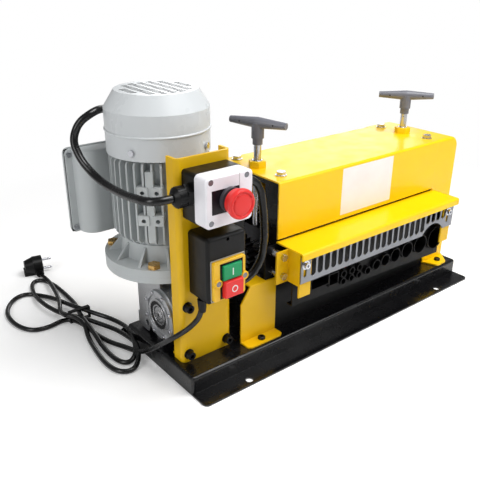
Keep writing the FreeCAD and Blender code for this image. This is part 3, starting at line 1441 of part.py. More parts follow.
def emergency_stop():
    """Two-part enclosure with a mushroom push button and two cable glands."""
    x, z = (d.stop_left, d.stop_right), (stop_low, stop_high)
    seam = d.bracket_front - d.stop_base
    face = seam - d.stop_cover
    base = rounded("stop_base_edges", box("stop_base_box", x, (seam, d.bracket_front), z), 5,
                   lambda e: runs_along(e, "y"))
    room = box("stop_base_room", (x[0] + 3, x[1] - 3), (seam - 5, d.bracket_front - 3),
               (z[0] + 3, z[1] - 3))
    tools = [room]
    for side in (0, 1):
        at_x = (x[0] - 5, x[1] - 6)[side]
        tools.append(rod("gland_hole", 8, 11, (at_x, d.gland_y, stop_high - d.gland_drop), "+x"))
    tools.extend(rod("base_screw_hole", 2, 60, at, "+y") for at in stop_screw_spots(face - 5))
    piece("estop_base", cut("estop_base_body", base, *tools))
    cover = rounded("stop_cover_edges", box("stop_cover_box", x, (face, seam), z), 7,
                    lambda e: runs_along(e, "y"))
    cover = chamfered("stop_cover_bevel", cover, 2, lambda e: near(middle(e).y, face))
    inner = box("stop_cover_room", (x[0] + 3, x[1] - 3), (face + 3, seam + 5), (z[0] + 3, z[1] - 3))
    name_place = box("name_recess", (x[0] + 9.5, stop_x + 16), (face - 1, face + 0.8),
                     (z[0] + 19, z[1] - 18))
    holes = [rod("stop_screw_hole", 2, 60, at, "+y") for at in stop_screw_spots(face - 5)]
    recess = [rod("stop_screw_seat", 4, 4, at, "+y") for at in stop_screw_spots(face - 2)]
    bore = rod("stop_bore", d.stem_radius + 3, 60, (stop_x, face - 5, stop_z), "+y")
    shell = cut("stop_cover_shell", cover, inner)
    piece("estop_cover", cut("estop_cover_body", shell, name_place, bore, *recess, *holes))
    screws = []
    for at in stop_screw_spots(face + 2):
        shank = rod("stop_shank", 2, d.stop_cover + d.stop_base - 4, at, "+y")
        head = rod("stop_head", 4, 1.6, at, "-y")
        screws.append(fuse("stop_screw", shank, head))
    CONTROL_SCREWS.extend(screws)
    collar_front = face - 6
    collar = rod("collar_disc", d.collar_radius, face - collar_front, (stop_x, collar_front, stop_z), "+y")
    tube = rod("collar_tube", d.stem_radius + 3, d.stop_cover, (stop_x, face, stop_z), "+y")
    hole = rod("collar_hole", d.stem_radius + d.slide_gap, 60, (stop_x, face - 20, stop_z), "+y")
    piece("estop_collar", cut("estop_collar_body", fuse("collar_solid", collar, tube), hole))
    head_back = collar_front - d.stop_travel - d.slide_gap - 1
    piece("estop_stem", rod("stem_bar", d.stem_radius, face + d.stop_cover - 6 - head_back,
                            (stop_x, head_back, stop_z), "+y"))
    head = cone("mushroom_head", d.mushroom_radius, d.mushroom_radius - 1.5, head_back - d.stop_front,
                (stop_x, head_back, stop_z), "-y")
    head = rounded("mushroom_edges", head, 4, lambda e: near(middle(e).y, d.stop_front) and e.Length > 60)
    piece("estop_mushroom", head)
    for side in (-1, 1):
        GLANDS.append(gland("stop_gland", x[0] if side < 0 else x[1], side))


def stop_screw_spots(y):
    across = (d.stop_left + 8.5, d.stop_right - 10.8)
    return [(x, y, z) for x in across for z in (stop_low + 8, stop_high - 6.5)]


def gland(name, seat, side):
    """Cable gland on the side of the box: hexagon, thread inside, domed nut."""
    def start(distance, length):
        return seat + side * distance - (length if side < 0 else 0)
    y, z = d.gland_y, stop_high - d.gland_drop
    nut, across, radius = (12, 28, 14) if side < 0 else (5, 22, 11)
    parts = [
        hexagon(name + "_hex", across, 8, (start(0, 8), y, z), "+x"),
        rod(name + "_thread", 8, 6, (start(-4, 6), y, z), "+x"),
        rod(name + "_nut", radius, nut, (start(8, nut), y, z), "+x"),
    ]
    wide, small = (8, radius) if side < 0 else (radius, 8)
    parts.append(cone(name + "_dome", wide, small, 5, (start(8 + nut, 5), y, z), "+x"))
    solid = fuse(name + "_solid", *parts)
    hole = rod(name + "_hole", d.lead_radius, 60, (start(-10, 60), y, z), "+x")
    return cut(name, solid, hole)


emergency_stop()


# ---------------------------------------------------------------- switch box
switch_high = stop_low - d.switch_gap
switch_low = switch_high - d.switch_height
bezel_high = switch_high - d.bezel_drop
KEY_SPANS = tuple((switch_high - drop - height, switch_high - drop)
                  for drop, height in ((d.green_drop, d.green_height), (d.red_drop, d.red_height)))


def switch_box():
    """Start and stop switch in a box under the emergency stop."""
    x, z = (d.switch_left, d.switch_right), (switch_low, switch_high)
    face = d.bracket_front - d.switch_depth
    outer = box("switch_outer", x, (face, d.bracket_front), z)
    outer = rounded("switch_edges", outer, 5, lambda e: near(middle(e).y, face) or runs_along(e, "y"))
    room = box("switch_room", (x[0] + 3, x[1] - 3), (face + 3, d.bracket_front - 3), (z[0] + 3, z[1] - 3))
    bx, bz = (d.bezel_left, d.bezel_right), (bezel_high - d.bezel_height, bezel_high)
    window = box("switch_window", (bx[0] + 4, bx[1] - 4), (face - 5, face + 5), (bz[0] + 3, bz[1] - 3))
    notch = rod("switch_notch", 2.5, 10, (-261.5, face - 5, z[1] - 7), "+y")
    entry = rod("cord_entry", d.cord_radius, 12, (-291, -80, z[0] - 5))
    ears = [(x_at, face, bz[1] - 32) for x_at in (-283, -237.5)]
    tools = [rod("ear_hole", 2, 12, (a, b - 9, c), "+y") for a, b, c in ears]
    lead_hole = rod("lead_entry", d.lead_radius, 12,
                    (x[1] - 8, d.lead_switch_y, switch_high - d.lead_drop), "+x")
    piece("switch_box", cut("switch_box_body", outer, room, window, notch, entry, lead_hole, *tools))
    plate = box("bezel_box", bx, (face - d.bezel_depth, face), bz)
    plate = rounded("bezel_edges", plate, 4, lambda e: runs_along(e, "y"))
    plate = rounded("bezel_front", plate, 1.5, lambda e: near(middle(e).y, face - d.bezel_depth))
    frame = (d.button_left - d.slide_gap, d.button_right + d.slide_gap)
    wells = []
    for low, high in KEY_SPANS:
        wells.append(box("button_well", frame, (face - 20, face + 20),
                         (low - d.slide_gap, high + d.slide_gap)))
    holes = [rod("bezel_screw_hole", 2, 30, (a, b - 20, c), "+y") for a, b, c in ears]
    piece("switch_bezel", cut("switch_bezel_body", plate, *wells, *holes))
    screws = []
    for a, b, c in ears:
        shank = rod("ear_shank", 2, d.bezel_depth + 2.5, (a, face - d.bezel_depth, c), "+y")
        head = rod("ear_head", 4, 2, (a, face - d.bezel_depth, c), "-y")
        screws.append(fuse("ear_screw", shank, head))
    piece("control_screws", group("control_screw_set", *CONTROL_SCREWS, *screws))
    for label, (low, high), proud in zip(("green_button", "red_button"), KEY_SPANS, (4, 8)):
        front = face - d.bezel_depth - proud
        cap = box(label + "_cap", (d.button_left, d.button_right), (front, face + 2), (low, high))
        piece(label, rounded(label + "_edges", cap, 1.2, lambda e: near(middle(e).y, front)))


switch_box()


# ---------------------------------------------------------------- leads and power cord
def tube(label, radius, points):
    """Round cable along straight runs joined by tangent arcs."""
    spots = [V(*[number(value) for value in point]) for point in points]
    edges, start, radii = [], spots[0], []
    for before, corner, after in zip(spots, spots[1:], spots[2:]):
        into, out = corner - before, after - corner
        size = 0.45 * min(into.Length, out.Length)
        into.normalize()
        out.normalize()
        half = into.getAngle(out) / 2
        bend = size / math.tan(half)
        inward = (out - into).normalize()
        centre = corner + inward * (bend / math.cos(half))
        first, last = corner - into * size, corner + out * size
        edges.append(Part.makeLine(start, first))
        edges.append(Part.Arc(first, centre - inward * bend, last).toShape())
        radii.append(bend)
        start = last
    edges.append(Part.makeLine(start, spots[-1]))
    path = Part.Wire(edges)
    profile = Part.Wire([Part.makeCircle(number(radius), spots[0], spots[1] - spots[0])])
    obj = doc.addObject("Part::Feature", label + "_tube")
    obj.Shape = path.makePipeShell([profile], True, False)
    ideal = math.pi * number(radius) ** 2 * path.Length
    print("%s: length %.0f, tightest bend %.0f, volume ratio %.3f" % (
        label, path.Length, min(radii), obj.Shape.Volume / ideal))
    return obj


MOTOR_LEAD = [
    (-328, -72, 301), (-341, -72, 301), (-353, -64, 300), (-359, -50, 299), (-360, -10, 294),
    (-359, 40, 292), (-362, 74, 298), (-370, 102, 318), (-373, 118, 344), (-364, 112, 370),
    (-342, 106, 384), (-320, 122, 383), (-299, 140, 376), (-290, 152, 356), (-290, 152, 330),
]
SWITCH_LEAD = [
    (-208, -72, 301), (-199, -72, 301), (-188, -73, 294), (-182, -76, 280), (-180, -80, 250),
    (-182, -86, 210), (-188, -87, 180), (-203, -86, 161), (-218, -85, 154), (-232, -85, 154),
]
CORD = [
    (-291, -80, 148), (-291, -80, 122), (-304, -72, 101), (-322, -58, 84), (-329, -30, 60),
    (-332, 2, 34), (-335, 34, 12),
]
HANK = [
    (-308, 134), (-315, 165), (-330, 190), (-342, 196), (-342, 212), (-337, 262), (-337, 350),
    (-345, 378), (-358, 394), (-380, 390), (-394, 364), (-430, 352), (-458, 325), (-469, 285),
    (-466, 235), (-445, 207), (-412, 197), (-380, 210), (-376, 196), (-390, 100), (-394, 30),
    (-384, 8), (-364, 0), (-342, 8), (-328, 40), (-326, 128),
]
TAIL = [(-355.8, 382.7, 7), (-351.1, 404.2, 7)]
CORD_EXIT = (-291, -80)
TIE_X, TIE_Y = (-378, -340), (200, 208)


def cords():
    piece("motor_lead", tube("motor_lead", d.lead_radius, MOTOR_LEAD))
    piece("switch_lead", tube("switch_lead", d.lead_radius, SWITCH_LEAD))
    first = tube("power_cord", d.cord_radius, CORD)
    relief = 20
    outer = cone("bush_skin", d.cord_radius + 1.2, d.cord_radius + 3, relief,
                 (*CORD_EXIT, switch_low - relief))
    inner = rod("bush_room", d.cord_radius, relief + 5, (*CORD_EXIT, switch_low - relief - 2))
    piece("cable_glands", group("gland_set", *GLANDS, cut("cord_bush", outer, inner)))
    tie = (box("tie_outside", TIE_X, TIE_Y, (d.floor_gap, d.hank_height + 2)),
           box("tie_inside", (TIE_X[0] + 2, TIE_X[1] - 2), (TIE_Y[0] - 10, TIE_Y[1] + 12),
               (d.floor_gap + 1.5, d.hank_height)))
    hank = body("hank_body")
    shape = sketch(hank, "hank_shape", "xy", d.floor_gap)
    loop(shape, HANK)
    pad(hank, shape, d.hank_height - d.floor_gap)
    tie_piece = cut("cord_tie_body", *tie)
    piece("cord_tie", tie_piece)
    piece("cord_hank", cut("cord_hank_body", hank, tie_piece))
    low, high = V(*TAIL[0]), V(*TAIL[1])
    tail = doc.addObject("Part::Cylinder", "tail_bar")
    bind(tail, Radius=d.cord_radius, Height=(high - low).Length)
    tail.Placement = FreeCAD.Placement(low, FreeCAD.Rotation(V(0, 0, 1), high - low))
    piece("power_cord", group("cord_ends", first, tail))


def plug():
    """Angled two-pin plug; in its own frame the pins point along X from the face."""
    across = FreeCAD.Rotation(V(0, 0, 1), -12.3)
    at = FreeCAD.Placement(V(-339, 422, 0), across)
    height = d.plug_radius + d.floor_gap
    moulding = [
        rod("plug_disc", d.plug_radius, 18, (-18, 0, height), "+x"),
        cone("plug_back", 12, d.plug_radius - 1, 16, (-34, 0, height), "+x"),
        box("plug_heel", (-36, -10), (-8, 8), (d.floor_gap, 14)),
        cone("plug_neck", 5, 7.5, 26, (-8, -24, 7.7), "+y"),
    ]
    bore = rod("plug_bore", d.cord_radius, 5, (-8, -25, 7), "+y")
    solid = cut("plug_solid", fuse("plug_moulding", *moulding), bore)
    pins = []
    for side in (-1, 1):
        shank = rod("pin_shank", 2.4, 24, (-5, 0, height + side * 9.5), "+x")
        pins.append(rounded("pin_tip", shank, 1.5, lambda e: near(middle(e).x, 19)))
    moulded = cut("plug_body_solid", solid, *pins)
    for label, obj in (("plug_body", moulded), ("plug_pins", group("pins", *pins))):
        obj.Placement = at
        piece(label, obj)


cords()
plug()


# ---------------------------------------------------------------- export
doc.recompute()
for item in PIECES:
    shape = item.Shape
    broken = "Invalid" in item.State or "Error" in item.State
    if broken or shape.isNull() or not shape.isValid() or not shape.Solids:
        print("BAD", item.Label, item.State)
        continue
    shape.exportStep("parts/%s.step" % item.Label)
    bounds = shape.BoundBox
    print("%-20s solids %2d  x %7.1f %7.1f  y %7.1f %7.1f  z %6.1f %6.1f" % (
        item.Label, len(shape.Solids), bounds.XMin, bounds.XMax, bounds.YMin, bounds.YMax,
        bounds.ZMin, bounds.ZMax))
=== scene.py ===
"""Motor-driven cable stripping machine: materials, dressed pieces, cords, light and camera."""

import math

import bmesh
import bpy
from mathutils import Matrix, Vector


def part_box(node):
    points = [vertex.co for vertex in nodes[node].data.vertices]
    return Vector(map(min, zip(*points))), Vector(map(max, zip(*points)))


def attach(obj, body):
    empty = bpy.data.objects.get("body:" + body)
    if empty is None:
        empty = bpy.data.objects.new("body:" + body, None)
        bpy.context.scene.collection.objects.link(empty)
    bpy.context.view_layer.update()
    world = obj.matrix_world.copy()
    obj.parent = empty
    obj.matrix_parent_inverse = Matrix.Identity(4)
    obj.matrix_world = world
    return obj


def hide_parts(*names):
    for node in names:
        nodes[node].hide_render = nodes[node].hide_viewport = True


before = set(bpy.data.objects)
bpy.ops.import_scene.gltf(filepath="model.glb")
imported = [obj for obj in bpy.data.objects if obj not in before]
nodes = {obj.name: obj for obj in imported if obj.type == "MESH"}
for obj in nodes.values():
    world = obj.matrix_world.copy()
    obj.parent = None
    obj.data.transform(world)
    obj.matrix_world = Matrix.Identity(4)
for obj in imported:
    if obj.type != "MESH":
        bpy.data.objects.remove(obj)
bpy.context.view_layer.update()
MM = 0.001


def mm(*values):
    """Millimetres in metres."""
    return tuple(value * MM for value in values)


def box_of(name):
    """Lowest corner, highest corner and middle of a CAD node at rest, to 0.001 mm."""
    low, high = (Vector(corner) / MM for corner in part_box(name))
    return [Vector([round(value, 3) for value in corner]) for corner in (low, high, (low + high) / 2)]


# ---------------------------------------------------------------- camera, light and floor
def srgb(red, green, blue):
    """Linear colour of a display colour given from 0 to 255."""
    def linear(value):
        value /= 255
        return value / 12.92 if value <= 0.04045 else ((value + 0.055) / 1.055) ** 2.4
    return (linear(red), linear(green), linear(blue), 1.0)


# The camera was fitted to the photograph: its place, its bearing, its dip, a slight roll, and
# a lens given in pixels of a picture that is 480 pixels wide.
CAMERA_PLACE = mm(-717.7, -703.9, 573.6)
BEARING, DIP, ROLL = -38.40, 24.10, 0.25
LENS_PIXELS, PICTURE_PIXELS, SENSOR = 613.1, 480, 36

scene = bpy.context.scene
scene.view_settings.view_transform = "Standard"
camera_data = bpy.data.cameras.new("camera")
camera = bpy.data.objects.new("camera", camera_data)
scene.collection.objects.link(camera)
scene.camera = camera
camera_data.sensor_width = SENSOR
camera_data.lens = LENS_PIXELS / PICTURE_PIXELS * SENSOR
camera_data.clip_start = 0.05
camera.matrix_world = (
    Matrix.Translation(Vector(CAMERA_PLACE))
    @ Matrix.Rotation(math.radians(BEARING), 4, "Z")
    @ Matrix.Rotation(math.radians(90 - DIP), 4, "X")
    @ Matrix.Rotation(math.radians(ROLL), 4, "Z")
)

# The world is a weak plain light, and pure white where the camera or clear plastic looks at it.
WHITE = (1, 1, 1, 1)
AMBIENT = 0.25
world = bpy.data.worlds.new("studio")
world.use_nodes = True
scene.world = world
sky = world.node_tree
ambient = sky.nodes["Background"]
ambient.inputs["Color"].default_value = WHITE
ambient.inputs["Strength"].default_value = AMBIENT
backdrop = sky.nodes.new("ShaderNodeBackground")
rays = sky.nodes.new("ShaderNodeLightPath")
seen = sky.nodes.new("ShaderNodeMath")
seen.operation = "MAXIMUM"
sky.links.new(rays.outputs["Is Camera Ray"], seen.inputs[0])
sky.links.new(rays.outputs["Is Transmission Ray"], seen.inputs[1])
either = sky.nodes.new("ShaderNodeMixShader")
sky.links.new(seen.outputs[0], either.inputs[0])
sky.links.new(ambient.outputs[0], either.inputs[1])
sky.links.new(backdrop.outputs[0], either.inputs[2])
sky.links.new(either.outputs[0], sky.nodes["World Output"].inputs["Surface"])
backdrop.inputs["Color"].default_value = WHITE


def area_light(name, place, target, size, power):
    """Rectangular lamp in metres and watts, turned to face a point."""
    data = bpy.data.lights.new(name, "AREA")
    data.shape = "RECTANGLE"
    data.size, data.size_y = size
    data.energy = power
    light = bpy.data.objects.new(name, data)
    scene.collection.objects.link(light)
    light.location = place
    light.rotation_euler = (Vector(target) - Vector(place)).to_track_quat("-Z", "Y").to_euler()


# Softboxes above, in front, beside the motor and behind, all weak enough that a colour renders
# about as it is written.
area_light("top_softbox", (0.25, -0.5, 1.9), (0, 0, 0.2), (1.3, 0.9), 30)
area_light("front_softbox", (0.66, -0.95, 1.0), (0.1, 0, 0.2), (0.6, 0.6), 6)
area_light("side_softbox", (-2.2, -0.3, 1.2), (-0.2, 0, 0.25), (0.7, 1.6), 15)
area_light("back_softbox", (1.75, 2.05, 1.05), (0, 0, 0.28), (1.7, 0.8), 12)

FLOOR_HALF = 6
floor_mesh = bpy.data.meshes.new("floor")
sheet = bmesh.new()
bmesh.ops.create_grid(sheet, x_segments=1, y_segments=1, size=FLOOR_HALF)
sheet.to_mesh(floor_mesh)
sheet.free()
floor = bpy.data.objects.new("floor", floor_mesh)
scene.collection.objects.link(floor)


# ---------------------------------------------------------------- material kit
def new_material(name, color, rough, metal=0.0, shine=0.5):
    """Principled material with its shader ready to be linked to."""
    material = bpy.data.materials.new(name)
    material.use_nodes = True
    tree = material.node_tree
    shader = tree.nodes["Principled BSDF"]
    shader.inputs["Base Color"].default_value = color
    shader.inputs["Roughness"].default_value = rough
    shader.inputs["Metallic"].default_value = metal
    shader.inputs["Specular IOR Level"].default_value = shine
    return material, tree, shader


def node(tree, kind, **settings):
    """New node, each setting going to the input or the property of that name."""
    item = tree.nodes.new(kind)
    for name, value in settings.items():
        if name in item.inputs:
            item.inputs[name].default_value = value
        else:
            setattr(item, name, value)
    return item


def place_of(tree):
    """Object coordinates, in metres."""
    found = [item for item in tree.nodes if item.bl_idname == "ShaderNodeTexCoord"]
    return (found[0] if found else tree.nodes.new("ShaderNodeTexCoord")).outputs["Object"]


def noise(tree, scale, detail=3.0, rough=0.5, stretch=None):
    """Noise over the object; stretch scales X, Y and Z apart."""
    item = node(tree, "ShaderNodeTexNoise", Scale=scale, Detail=detail, Roughness=rough)
    place = place_of(tree)
    if stretch:
        mapping = node(tree, "ShaderNodeMapping", Scale=stretch)
        tree.links.new(place, mapping.inputs["Vector"])
        place = mapping.outputs["Vector"]
    tree.links.new(place, item.inputs["Vector"])
    return item.outputs["Fac"]


def remap(tree, value, low, high, start=0.3, end=0.7):
    """Value from start to end spread over low to high; the defaults suit a noise."""
    item = node(tree, "ShaderNodeMapRange")
    item.inputs["From Min"].default_value = start
    item.inputs["From Max"].default_value = end
    item.inputs["To Min"].default_value = low
    item.inputs["To Max"].default_value = high
    tree.links.new(value, item.inputs["Value"])
    return item.outputs["Result"]


def blend_colors(tree, factor, first, second):
    """Mix of two colours, each a value or another node's output."""
    item = node(tree, "ShaderNodeMix", data_type="RGBA")
    tree.links.new(factor, item.inputs["Factor"])
    for socket, value in ((item.inputs[6], first), (item.inputs[7], second)):
        if isinstance(value, bpy.types.NodeSocket):
            tree.links.new(value, socket)
        else:
            socket.default_value = value
    return item.outputs[2]


def shade(color, factor):
    """Colour made lighter or darker by a factor."""
    return (color[0] * factor, color[1] * factor, color[2] * factor, 1.0)


def soft_edges(tree, radius):
    """Normals rounded over the edges of the solids, so that edges catch the light."""
    return node(tree, "ShaderNodeBevel", samples=4, Radius=radius * MM).outputs["Normal"]


def relief(tree, shader, height, distance, edge):
    """Bump of a height given in millimetres, on top of the rounded edges."""
    bump = node(tree, "ShaderNodeBump", Strength=1.0, Distance=distance * MM)
    tree.links.new(height, bump.inputs["Height"])
    if edge:
        tree.links.new(soft_edges(tree, edge), bump.inputs["Normal"])
    tree.links.new(bump.outputs["Normal"], shader.inputs["Normal"])


def worn_edges(tree, radius):
    """Mask that is 1 along convex edges, from how far the rounded normal leans."""
    geometry = tree.nodes.new("ShaderNodeNewGeometry")
    dot = node(tree, "ShaderNodeVectorMath", operation="DOT_PRODUCT")
    tree.links.new(soft_edges(tree, radius), dot.inputs[0])
    tree.links.new(geometry.outputs["Normal"], dot.inputs[1])
    return remap(tree, dot.outputs["Value"], 1, 0, 0.86, 0.995)


# Width in millimetres of the edges that are rubbed bare, and of the rounding of painted ones.
EDGE_REACH = 0.7
PAINT_EDGE = 0.6


def paint(name, color, rough, coat=0.0, vary=0.05, peel=0.05, wear=None, shine=0.5):
    """Sprayed or powder-coated metal: faint mottling, orange peel and rubbed edges."""
    material, tree, shader = new_material(name, color, rough, shine=shine)
    mottle = noise(tree, 9, 4)
    tint = blend_colors(tree, remap(tree, mottle, 0, 1), shade(color, 1 - vary),
                        shade(color, 1 + vary * 0.6))
    if wear:
        spots = noise(tree, 160, 3)
        mask = node(tree, "ShaderNodeMath", operation="MULTIPLY")
        tree.links.new(worn_edges(tree, EDGE_REACH), mask.inputs[0])
        tree.links.new(remap(tree, spots, 0, 0.8, 0.45, 0.62), mask.inputs[1])
        tint = blend_colors(tree, mask.outputs[0], tint, wear)
    tree.links.new(tint, shader.inputs["Base Color"])
    tree.links.new(remap(tree, noise(tree, 35, 3), rough - 0.05, rough + 0.07), shader.inputs["Roughness"])
    shader.inputs["Coat Weight"].default_value = coat
    shader.inputs["Coat Roughness"].default_value = 0.12
    relief(tree, shader, noise(tree, 520, 2), peel, PAINT_EDGE)
    return material


def metal(name, color, rough, grain=(1, 1, 1), scale=300, depth=0.02, edge=0.4):
    """Bare metal with a grain; grain stretches the tool marks along one axis."""
    material, tree, shader = new_material(name, color, rough, 1.0)
    marks = noise(tree, scale, 4, 0.6, grain)
    stain = noise(tree, 24, 4)
    tint = blend_colors(tree, remap(tree, stain, 0, 1), shade(color, 0.88), shade(color, 1.06))
    tree.links.new(tint, shader.inputs["Base Color"])
    tree.links.new(remap(tree, marks, rough - 0.08, rough + 0.12), shader.inputs["Roughness"])
    relief(tree, shader, marks, depth, edge)
    return material


def plastic(name, color, rough, grain=0.02, scale=1400, edge=0.4, shine=0.5):
    """Moulded plastic or rubber with a fine spark-eroded texture."""
    material, tree, shader = new_material(name, color, rough, shine=shine)
    stain = noise(tree, 30, 4)
    tint = blend_colors(tree, remap(tree, stain, 0, 1), shade(color, 0.96), shade(color, 1.04))
    tree.links.new(tint, shader.inputs["Base Color"])
    tree.links.new(remap(tree, noise(tree, 90, 3), rough - 0.04, rough + 0.06), shader.inputs["Roughness"])
    relief(tree, shader, noise(tree, scale, 2), grain, edge)
    return material


def dress(material, *names):
    """Give CAD nodes a material."""
    for name in names:
        slots = nodes[name].data.materials
        slots.clear()
        slots.append(material)


# The floor is plain paper near the machine, where it takes the shadow, and fades to the
# white of the backdrop further out for rays straight from the camera. The fade runs between
# two distances in metres from the middle of the tray.
FLOOR_GLOW = 0.16
FADE_FROM, FADE_TO = 0.62, 1.05
floor_paper, floor_tree, floor_shader = new_material("floor_paper", srgb(250, 250, 250), 0.9)
floor_tint = blend_colors(floor_tree, remap(floor_tree, noise(floor_tree, 3), 0, 1),
                          srgb(248, 248, 248), srgb(253, 253, 253))
floor_tree.links.new(floor_tint, floor_shader.inputs["Base Color"])
lift = node(floor_tree, "ShaderNodeEmission", Strength=FLOOR_GLOW)
lit = floor_tree.nodes.new("ShaderNodeAddShader")
plain = node(floor_tree, "ShaderNodeEmission", Strength=1.0)
away = node(floor_tree, "ShaderNodeVectorMath", operation="LENGTH")
floor_tree.links.new(place_of(floor_tree), away.inputs[0])
fade = remap(floor_tree, away.outputs["Value"], 0, 1, FADE_FROM, FADE_TO)
far = floor_tree.nodes.new("ShaderNodeMixShader")
floor_rays = floor_tree.nodes.new("ShaderNodeLightPath")
shown = floor_tree.nodes.new("ShaderNodeMixShader")
floor_tree.links.new(floor_shader.outputs[0], lit.inputs[0])
floor_tree.links.new(lift.outputs[0], lit.inputs[1])
floor_tree.links.new(fade, far.inputs[0])
floor_tree.links.new(lit.outputs[0], far.inputs[1])
floor_tree.links.new(plain.outputs[0], far.inputs[2])
floor_tree.links.new(floor_rays.outputs["Is Camera Ray"], shown.inputs[0])
floor_tree.links.new(floor_shader.outputs[0], shown.inputs[1])
floor_tree.links.new(far.outputs[0], shown.inputs[2])
floor_tree.links.new(shown.outputs[0], floor_tree.nodes["Material Output"].inputs["Surface"])
floor_mesh.materials.append(floor_paper)


# ---------------------------------------------------------------- materials of the solids
yellow = paint("yellow_powder_coat", srgb(253, 206, 4), 0.33, coat=0.08, vary=0.04, peel=0.02,
               wear=srgb(205, 160, 40), shine=0.3)
# A darker copy of the yellow powder coat: painted shade for the bracket, the wings and the gear guard,
# which sit low under the hood and the switch boxes.
shaded_yellow = paint("shaded_yellow_powder_coat", srgb(232, 184, 4), 0.36, coat=0.04, vary=0.06, peel=0.02,
                    wear=srgb(180, 140, 40), shine=0.3)
black = paint("black_gloss_paint", srgb(11, 11, 13), 0.26, coat=0.25, vary=0.2, peel=0.03,
              wear=srgb(58, 58, 60), shine=0.35)
motor_grey = paint("motor_grey_paint", srgb(184, 189, 190), 0.38, coat=0.1,
                   wear=srgb(150, 153, 154))
cowl_grey = paint("cowl_grey_paint", srgb(206, 210, 212), 0.30, vary=0.012, peel=0.01, shine=0.4)
cast = metal("cast_aluminium", srgb(205, 206, 208), 0.33, scale=420, depth=0.10, edge=0.8)
steel = metal("turned_steel", srgb(196, 196, 198), 0.22, (0.2, 1, 1), 500, 0.01)
zinc = metal("zinc_plated_steel", srgb(204, 205, 210), 0.20, scale=260, depth=0.015)
brassy = metal("yellow_zinc", srgb(196, 158, 96), 0.27, scale=260, depth=0.015)
dark_steel = metal("blackened_steel", srgb(52, 52, 55), 0.33, scale=300, depth=0.02)
comb_grey = metal("comb_sheet", srgb(140, 142, 147), 0.34, (1, 1, 0.15), 700, 0.012)
black_plastic = plastic("black_plastic", srgb(8, 8, 9), 0.36, grain=0.02, shine=0.25)
white_plastic = plastic("white_plastic", srgb(244, 243, 248), 0.32, grain=0.008, edge=0.6)
yellow_plastic = plastic("yellow_plastic", srgb(240, 188, 20), 0.30, grain=0.008)
red_plastic = plastic("red_plastic", srgb(232, 52, 50), 0.32, grain=0.008, shine=0.35)
green_plastic = plastic("green_plastic", srgb(14, 150, 92), 0.32, grain=0.008, shine=0.35)
grey_plastic = plastic("dark_grey_plastic", srgb(112, 113, 121), 0.34, grain=0.03, scale=1800)
collar_plastic = plastic("collar_plastic", srgb(70, 66, 72), 0.34)
rubber = plastic("cable_sheath", srgb(9, 9, 10), 0.24, grain=0.01, scale=900)
guide_black = plastic("guide_black", srgb(6, 6, 7), 0.45, grain=0.01, shine=0.18)
screw_steel = metal("screw_steel", srgb(128, 128, 132), 0.26, scale=260, depth=0.015)

# Those of the small pieces that are added below.
plate_black = plastic("plate_black", srgb(16, 12, 20), 0.42, grain=0.004, shine=0.3)
seam_grey = plastic("seam_grey", srgb(150, 148, 152), 0.5, grain=0.004)
seal_grey = plastic("seal_grey", srgb(170, 168, 160), 0.5, grain=0.01)
mark_white = plastic("mark_white", srgb(226, 232, 228), 0.4, grain=0.004)
sticker_white = plastic("sticker_white", srgb(244, 238, 238), 0.38, grain=0.004, edge=0)
# Nearly black, for painted shade in holes: those in the T-handles and the bore of the output shaft.
painted_hole_shade = plastic("painted_hole_shade", srgb(12, 12, 14), 0.6, edge=0)

dress(yellow, "main_cover", "end_cover", "lower_hood")
# Painted shade: the bracket, the wings and the gear guard take the darker copy of the yellow.
dress(shaded_yellow, "motor_bracket", "left_wing", "right_wing", "gear_guard")
dress(black, "base_tray", "left_side_plate", "right_side_plate", "screw_bars")
dress(guide_black, "cable_guide", "front_plate")
dress(motor_grey, "input_flange", "drive_end_shield", "motor_body", "tail_end_shield",
      "capacitor_box", "capacitor_lid")
dress(cowl_grey, "fan_cowl")
dress(cast, "gearbox_housing")
dress(steel, "motor_spindle", "shaft_bearings", "lower_shaft", "slitting_blades", "upper_shaft")
dress(zinc, "motor_screws", "cover_screws", "plug_pins", "left_screw", "right_screw")
dress(screw_steel, "control_screws")
dress(brassy, "flange_bolts")
dress(dark_steel, "socket_screws", "stator", "sliding_blocks", "worm_wheel", "lower_gear", "upper_gear")
dress(comb_grey, "comb_plate")
dress(black_plastic, "hub_seals", "cooling_fan", "estop_base", "estop_stem", "switch_box",
      "cable_glands", "cord_tie", "plug_body")
dress(white_plastic, "estop_cover")
dress(yellow_plastic, "switch_bezel")
dress(red_plastic, "estop_mushroom", "red_button")
dress(green_plastic, "green_button")
dress(grey_plastic, "left_handle", "right_handle")
dress(collar_plastic, "estop_collar")
dress(rubber, "motor_lead", "switch_lead")


# ---------------------------------------------------------------- painted shade inside the cowl
# Shade is painted inside the cowl: faces that look towards a point on the motor's axis
# are its inner ones and turn dark. The slots' walls get the same painted shade: they are the
# faces of its top sheet that don't look up, and the sheet ends between two depths under the top.
MOTOR_X, MOTOR_Y = -266.5, 58
COWL_HEART = 360
SHEET_UNDER, SHEET_OVER = 2.3, 1.9
# Colour of the painted shade inside the cowl and on the slots' walls.
COWL_INSIDE_SHADE = srgb(20, 20, 22)
cowl_top = box_of("fan_cowl")[1].z * MM
cowl_tree = cowl_grey.node_tree
cowl_shader = cowl_tree.nodes["Principled BSDF"]
outward = node(cowl_tree, "ShaderNodeVectorMath", operation="SUBTRACT")
outward.inputs[1].default_value = mm(MOTOR_X, MOTOR_Y, COWL_HEART)
cowl_tree.links.new(place_of(cowl_tree), outward.inputs[0])
facing = node(cowl_tree, "ShaderNodeVectorMath", operation="DOT_PRODUCT")
cowl_tree.links.new(outward.outputs[0], facing.inputs[0])
cowl_normal = cowl_tree.nodes.new("ShaderNodeNewGeometry").outputs["Normal"]
cowl_tree.links.new(cowl_normal, facing.inputs[1])
lean, level = (cowl_tree.nodes.new("ShaderNodeSeparateXYZ") for _ in range(2))
cowl_tree.links.new(cowl_normal, lean.inputs[0])
